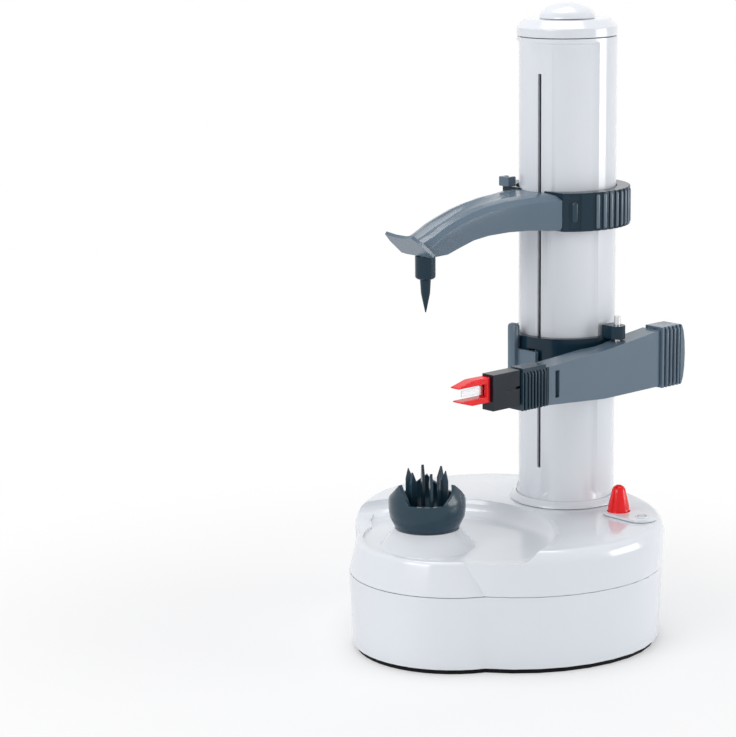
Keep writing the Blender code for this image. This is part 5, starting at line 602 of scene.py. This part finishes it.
@dataclass
class UpperArm(SubAssembly):
    """Arm with its ribbed band, release tab and spike."""

    axis_x: float = 90.2 * MM
    band_radius: float = 29.9 * MM
    band_bottom: float = 190.4 * MM
    band_top: float = 208.2 * MM
    rib_radius: float = 0.95 * MM
    rib_depth_share: float = 0.7
    rib_margin: float = 0.9 * MM
    rib_sink: float = 0.2 * MM
    rib_count: int = 8
    rib_first_deg: float = 253.75
    rib_step_deg: float = 7.5
    boss_deg: float = 232.0
    boss_half_width: float = 1.5 * MM
    boss_half_height: float = 5.0 * MM
    boss_depth_share: float = 0.6
    boss_sink: float = 0.7 * MM
    boss_sides: int = 16
    boss_steps: int = 6
    boss_crisp_deg: float = 60.0
    skins: dict[str, float] = field(default_factory=lambda: {
        "upper_arm": 0.5, "upper_band": 0.25, "upper_release_tab": 0.4, "spike_housing": 0.3,
        "top_spike": 0.0})
    # The band, spike housing and spike take the darker slate copy whose colour paints shade and dark
    # reflection.
    finishes: dict[str, Finish] = field(default_factory=lambda: {
        "upper_band": PAINTED_SHADE_SLATE, "spike_housing": PAINTED_SHADE_SLATE, "top_spike": PAINTED_SHADE_SLATE})

    def details(self) -> None:
        """Add the rounded ribs on the band and the oval boss in its inset."""
        for side, name in ((1.0, "band_ribs_far"), (-1.0, "band_ribs_near")):
            self._ribs(name, side)
        self._boss()

    def _ribs(self, name: str, side: float) -> None:
        """Add the ribs on one side of the band.

        Args:
            name: Name of the piece.
            side: 1 for the far side and -1 for the near one.
        """
        bar = MeshTools.round_bar(name + "_bar", self.rib_radius, self.rib_depth_share,
                                  self.band_bottom + self.rib_margin,
                                  self.band_top - self.rib_margin)
        ribs = self.bench.repeat.spread(name, bar, self.bench.material(Slot.SLATE), {
            "Count": self.rib_count, "Start": (self.axis_x, 0.0, 0.0), "Step": (0.0, 0.0, 0.0),
            "Radius": self.band_radius - self.rib_sink,
            "First Angle": -side * math.radians(self.rib_first_deg),
            "Angle Step": -side * math.radians(self.rib_step_deg)})
        self.bench.attach(ribs, "upper_carriage", Slot.SLATE)

    def _boss(self) -> None:
        """Add the oval boss in the band's inset."""
        middle = (self.band_bottom + self.band_top) / 2.0
        boss = MeshTools.round_bar("band_boss", self.boss_half_width, self.boss_depth_share,
                                   middle - self.boss_half_height, middle + self.boss_half_height,
                                   self.boss_sides, self.boss_steps)
        angle = math.radians(self.boss_deg)
        reach = self.band_radius - self.boss_sink
        boss.transform(Matrix.Translation((self.axis_x + reach * math.cos(angle),
                                           reach * math.sin(angle), 0.0))
                       @ Matrix.Rotation(angle, 4, "Z"))
        MeshTools.smooth(boss, self.boss_crisp_deg)
        boss.materials.append(self.bench.material(Slot.DARK_SLATE))
        self.bench.attach(MeshTools.link("band_boss", boss), "upper_carriage", Slot.DARK_SLATE)


@dataclass
class PeelCarriage(SubAssembly):
    """Lower collar with its release tab and the pivot pin."""

    skins: dict[str, float] = field(default_factory=lambda: {
        "peel_collar": 0.5, "peel_release_tab": 0.4, "lever_pivot_pin": 0.25})
    # The collar takes the darker slate copy whose colour paints shade and dark reflection.
    finishes: dict[str, Finish] = field(default_factory=lambda: {"peel_collar": PAINTED_SHADE_SLATE})


@dataclass(frozen=True)
class RibRow:
    """A straight row of upright ribs and what carries it."""

    name: str
    body: str
    slot: Slot
    count: int
    pitch: float
    first_x: float
    front: float
    bottom: float
    top: float
    radius: float
    depth_share: float

    def build(self, bench: Bench) -> None:
        """Make the row.

        Args:
            bench: Frame, finishes and trees.
        """
        bar = MeshTools.round_bar(self.name + "_bar", self.radius, self.depth_share, self.bottom,
                                  self.top)
        ribs = bench.repeat.spread(self.name, bar, bench.material(self.slot), {
            "Count": self.count, "Start": (self.first_x, self.front, 0.0),
            "Step": (self.pitch, 0.0, 0.0), "Radius": 0.0, "First Angle": 0.0, "Angle Step": 0.0})
        bench.attach(ribs, self.body, self.slot)


@dataclass
class Lever(SubAssembly):
    """Peel lever with its ribbed grip, latch, holder, guard and blade."""

    front: float = -39.4 * MM
    grip_left: float = 114.9 * MM
    grip_pitch: float = 2.56 * MM
    grip_first_share: float = 1.225
    grip_bottom: float = 112.8 * MM
    grip_top: float = 141.8 * MM
    grip_margin: float = 0.8 * MM
    grip_rib_radius: float = 0.85 * MM
    grip_depth_share: float = 0.85
    grip_ribs: int = 4
    latch_left: float = 22.5 * MM
    latch_pitch: float = 2.0 * MM
    latch_bottom: float = 116.5 * MM
    latch_top: float = 133.9 * MM
    latch_margin: float = 0.4 * MM
    latch_rib_radius: float = 0.62 * MM
    latch_ribs: int = 7
    skins: dict[str, float] = field(default_factory=lambda: {
        "peel_lever": 0.5, "lever_grip": 0.4, "blade_latch": 0.2, "blade_holder": 0.6,
        "blade_guard": 0.6, "peel_blade": 0.0})

    def details(self) -> None:
        """Add the rounded ribs on the grip and on the latch."""
        RibRow("grip_ribs", "lever", Slot.SLATE, self.grip_ribs, self.grip_pitch,
               self.grip_left + self.grip_first_share * self.grip_pitch, self.front,
               self.grip_bottom + self.grip_margin, self.grip_top - self.grip_margin,
               self.grip_rib_radius, self.grip_depth_share).build(self.bench)
        RibRow("latch_ribs", "latch", Slot.DARK_SLATE, self.latch_ribs, self.latch_pitch,
               self.latch_left + self.latch_pitch, self.front,
               self.latch_bottom + self.latch_margin, self.latch_top - self.latch_margin,
               self.latch_rib_radius, 1.0).build(self.bench)


@dataclass
class SwitchGroup(SubAssembly):
    """Red button on its oval plate with the small lens."""

    lens_centre: tuple[float, float] = (84.7 * MM, -55.0 * MM)
    plate_top: float = 58.9 * MM
    ring_bore: float = 2.35 * MM
    ring_radius: float = 3.2 * MM
    ring_rise: float = 0.5 * MM
    ring_sink: float = 0.1 * MM
    inner_chamfer: tuple[float, float] = (0.2 * MM, 0.15 * MM)
    outer_chamfer: tuple[float, float] = (0.25 * MM, 0.2 * MM)
    outer_draft: float = 0.1 * MM
    ring_sides: int = 40
    ring_crisp_deg: float = 40.0
    skins: dict[str, float] = field(default_factory=lambda: {
        "switch_plate": 0.4, "red_button": 0.3, "indicator_lens": 0.3})

    def details(self) -> None:
        """Add the raised ring round the lens."""
        low, high = self.plate_top - self.ring_sink, self.plate_top + self.ring_rise
        wall = self.ring_radius - self.outer_draft
        profile = [(self.ring_bore, low), (self.ring_bore, high - self.inner_chamfer[1]),
                   (self.ring_bore + self.inner_chamfer[0], high),
                   (wall - self.outer_chamfer[0], high), (wall, high - self.outer_chamfer[1]),
                   (self.ring_radius, low)]
        mesh = MeshTools.lathe("lens_ring", profile, self.lens_centre, self.ring_sides)
        MeshTools.smooth(mesh, self.ring_crisp_deg)
        mesh.materials.append(self.bench.material(Slot.WHITE))
        self.bench.attach(MeshTools.link("lens_ring", mesh), "base", Slot.WHITE)


@dataclass(frozen=True)
class Lamp:
    """One square softbox."""

    name: str
    place: RGB
    size: float
    power: float

    def build(self, aim: RGB) -> None:
        """Hang the softbox.

        Args:
            aim: Point that it faces.
        """
        lamp = bpy.data.lights.new(self.name, "AREA")
        lamp.shape = "SQUARE"
        lamp.size = self.size
        lamp.energy = self.power
        made = bpy.data.objects.new(self.name, lamp)
        bpy.context.scene.collection.objects.link(made)
        made.location = self.place
        toward = Vector(aim) - Vector(self.place)
        made.rotation_euler = toward.to_track_quat("-Z", "Y").to_euler()


@dataclass
class Studio:
    """Camera, lamps, floor and background."""

    camera_place: RGB = (-748.06 * MM, -814.64 * MM, 369.09 * MM)
    heading_deg: float = 41.2
    pitch_deg: float = 12.012
    roll_deg: float = 0.704
    focal_length: float = 122.12
    sensor_width: float = 36.0
    clip_range: tuple[float, float] = (0.01, 60.0)
    world_light: float = 0.26
    world_tint: RGB = (0.93, 0.96, 1.0)
    floor_reach: float = 9.0
    floor_colour: RGB = (0.90, 0.90, 0.91)
    floor_roughness: float = 0.6
    floor_specular: float = 0.1
    fade_reach: tuple[float, float] = (0.09, 0.34)
    fade_share: tuple[float, float] = (0.45, 1.0)
    lamps: tuple[Lamp, ...] = (
        Lamp("top_box", (0.10, 0.15, 1.40), 0.9, 11.0),
        Lamp("left_box", (-1.20, -0.10, 0.60), 0.7, 7.5),
        Lamp("right_box", (1.00, -1.10, 0.22), 0.8, 12.0))
    aim: RGB = (0.05, 0.0, 0.12)

    def build(self) -> None:
        """Make the camera, lamps, floor and world."""
        self._camera()
        for lamp in self.lamps:
            lamp.build(self.aim)
        self._floor()
        self._world()
        bpy.context.scene.view_settings.view_transform = "Standard"

    def _camera(self) -> None:
        """Set the camera at the viewing angle."""
        heading = math.radians(self.heading_deg)
        pitch = math.radians(self.pitch_deg)
        roll = math.radians(self.roll_deg)
        right = Vector((math.cos(heading), -math.sin(heading), 0.0))
        forward = Vector((math.sin(heading) * math.cos(pitch),
                          math.cos(heading) * math.cos(pitch), -math.sin(pitch)))
        rise = right.cross(forward)
        across = right * math.cos(roll) - rise * math.sin(roll)
        upward = right * math.sin(roll) + rise * math.cos(roll)
        lens = bpy.data.cameras.new("studio_camera")
        lens.lens = self.focal_length
        lens.sensor_width = self.sensor_width
        lens.clip_start, lens.clip_end = self.clip_range
        camera = bpy.data.objects.new("studio_camera", lens)
        bpy.context.scene.collection.objects.link(camera)
        turn = Matrix((across, upward, -forward)).transposed()
        camera.matrix_world = Matrix.Translation(self.camera_place) @ turn.to_4x4()
        bpy.context.scene.camera = camera

    @staticmethod
    def _seen_directly(tree: bpy.types.NodeTree) -> bpy.types.NodeSocket:
        """Mask of camera, glossy and transmission rays.

        Args:
            tree: Node tree that takes the nodes.

        Returns:
            Socket with 1 for those rays, else 0.
        """
        path = tree.nodes.new("ShaderNodeLightPath")
        seen = path.outputs["Is Camera Ray"]
        for label in ("Is Glossy Ray", "Is Transmission Ray"):
            most = tree.nodes.new("ShaderNodeMath")
            most.operation = "MAXIMUM"
            tree.links.new(seen, most.inputs[0])
            tree.links.new(path.outputs[label], most.inputs[1])
            seen = most.outputs[0]
        return seen

    def _floor(self) -> None:
        """Lay a pale floor that keeps the shadow and fades to white further out."""
        reach = self.floor_reach
        mesh = bpy.data.meshes.new("studio_floor")
        mesh.from_pydata([(-reach, -reach, 0.0), (reach, -reach, 0.0), (reach, reach, 0.0),
                          (-reach, reach, 0.0)], [], [(0, 1, 2, 3)])
        floor = MeshTools.link("studio_floor", mesh)
        made = bpy.data.materials.new("pale_floor")
        made.use_nodes = True
        tree = made.node_tree
        shader = tree.nodes["Principled BSDF"]
        shader.inputs["Base Color"].default_value = (*self.floor_colour, 1.0)
        shader.inputs["Roughness"].default_value = self.floor_roughness
        shader.inputs["Specular IOR Level"].default_value = self.floor_specular
        white = tree.nodes.new("ShaderNodeEmission")
        white.inputs["Strength"].default_value = 1.0
        point = tree.nodes.new("ShaderNodeTexCoord").outputs["Object"]
        length = tree.nodes.new("ShaderNodeVectorMath")
        length.operation = "LENGTH"
        tree.links.new(point, length.inputs[0])
        fade = tree.nodes.new("ShaderNodeMapRange")
        fade.interpolation_type = "SMOOTHSTEP"
        for label, value in zip(("From Min", "From Max"), self.fade_reach):
            fade.inputs[label].default_value = value
        for label, value in zip(("To Min", "To Max"), self.fade_share):
            fade.inputs[label].default_value = value
        tree.links.new(length.outputs["Value"], fade.inputs["Value"])
        share = tree.nodes.new("ShaderNodeMath")
        share.operation = "MULTIPLY"
        tree.links.new(fade.outputs["Result"], share.inputs[0])
        tree.links.new(self._seen_directly(tree), share.inputs[1])
        mix = tree.nodes.new("ShaderNodeMixShader")
        tree.links.new(share.outputs[0], mix.inputs["Fac"])
        tree.links.new(shader.outputs["BSDF"], mix.inputs[1])
        tree.links.new(white.outputs["Emission"], mix.inputs[2])
        tree.links.new(mix.outputs["Shader"], tree.nodes["Material Output"].inputs["Surface"])
        mesh.materials.append(made)

    def _world(self) -> None:
        """Light the scene softly and show white behind it."""
        world = bpy.data.worlds.new("studio_world")
        bpy.context.scene.world = world
        world.use_nodes = True
        tree = world.node_tree
        tree.nodes.clear()
        output = tree.nodes.new("ShaderNodeOutputWorld")
        soft = tree.nodes.new("ShaderNodeBackground")
        soft.inputs["Color"].default_value = (*self.world_tint, 1.0)
        soft.inputs["Strength"].default_value = self.world_light
        white = tree.nodes.new("ShaderNodeBackground")
        white.inputs["Color"].default_value = (1.0, 1.0, 1.0, 1.0)
        white.inputs["Strength"].default_value = 1.0
        mix = tree.nodes.new("ShaderNodeMixShader")
        tree.links.new(self._seen_directly(tree), mix.inputs["Fac"])
        tree.links.new(soft.outputs["Background"], mix.inputs[1])
        tree.links.new(white.outputs["Background"], mix.inputs[2])
        tree.links.new(mix.outputs["Shader"], output.inputs["Surface"])


def clear_strays() -> None:
    """Remove whatever the file opened with beside the frame."""
    kept = set(frame["nodes"].values()) | set(frame["bodies"].values())
    for found in list(bpy.data.objects):
        if found not in kept:
            bpy.data.objects.remove(found, do_unlink=True)


def main() -> None:
    """Dress every node, build each sub-assembly and light it."""
    logging.basicConfig(level=logging.INFO, format="%(message)s")
    clear_strays()
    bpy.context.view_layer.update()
    bench = Bench()
    LOG.info("dressed %d nodes", bench.dress_nodes())
    for kind in (Base, Turntable, Column, UpperArm, PeelCarriage, Lever, SwitchGroup):
        kind(bench).build()
        LOG.info("built %s", kind.__name__)
    Studio().build()


if __name__ == "__main__":
    main()
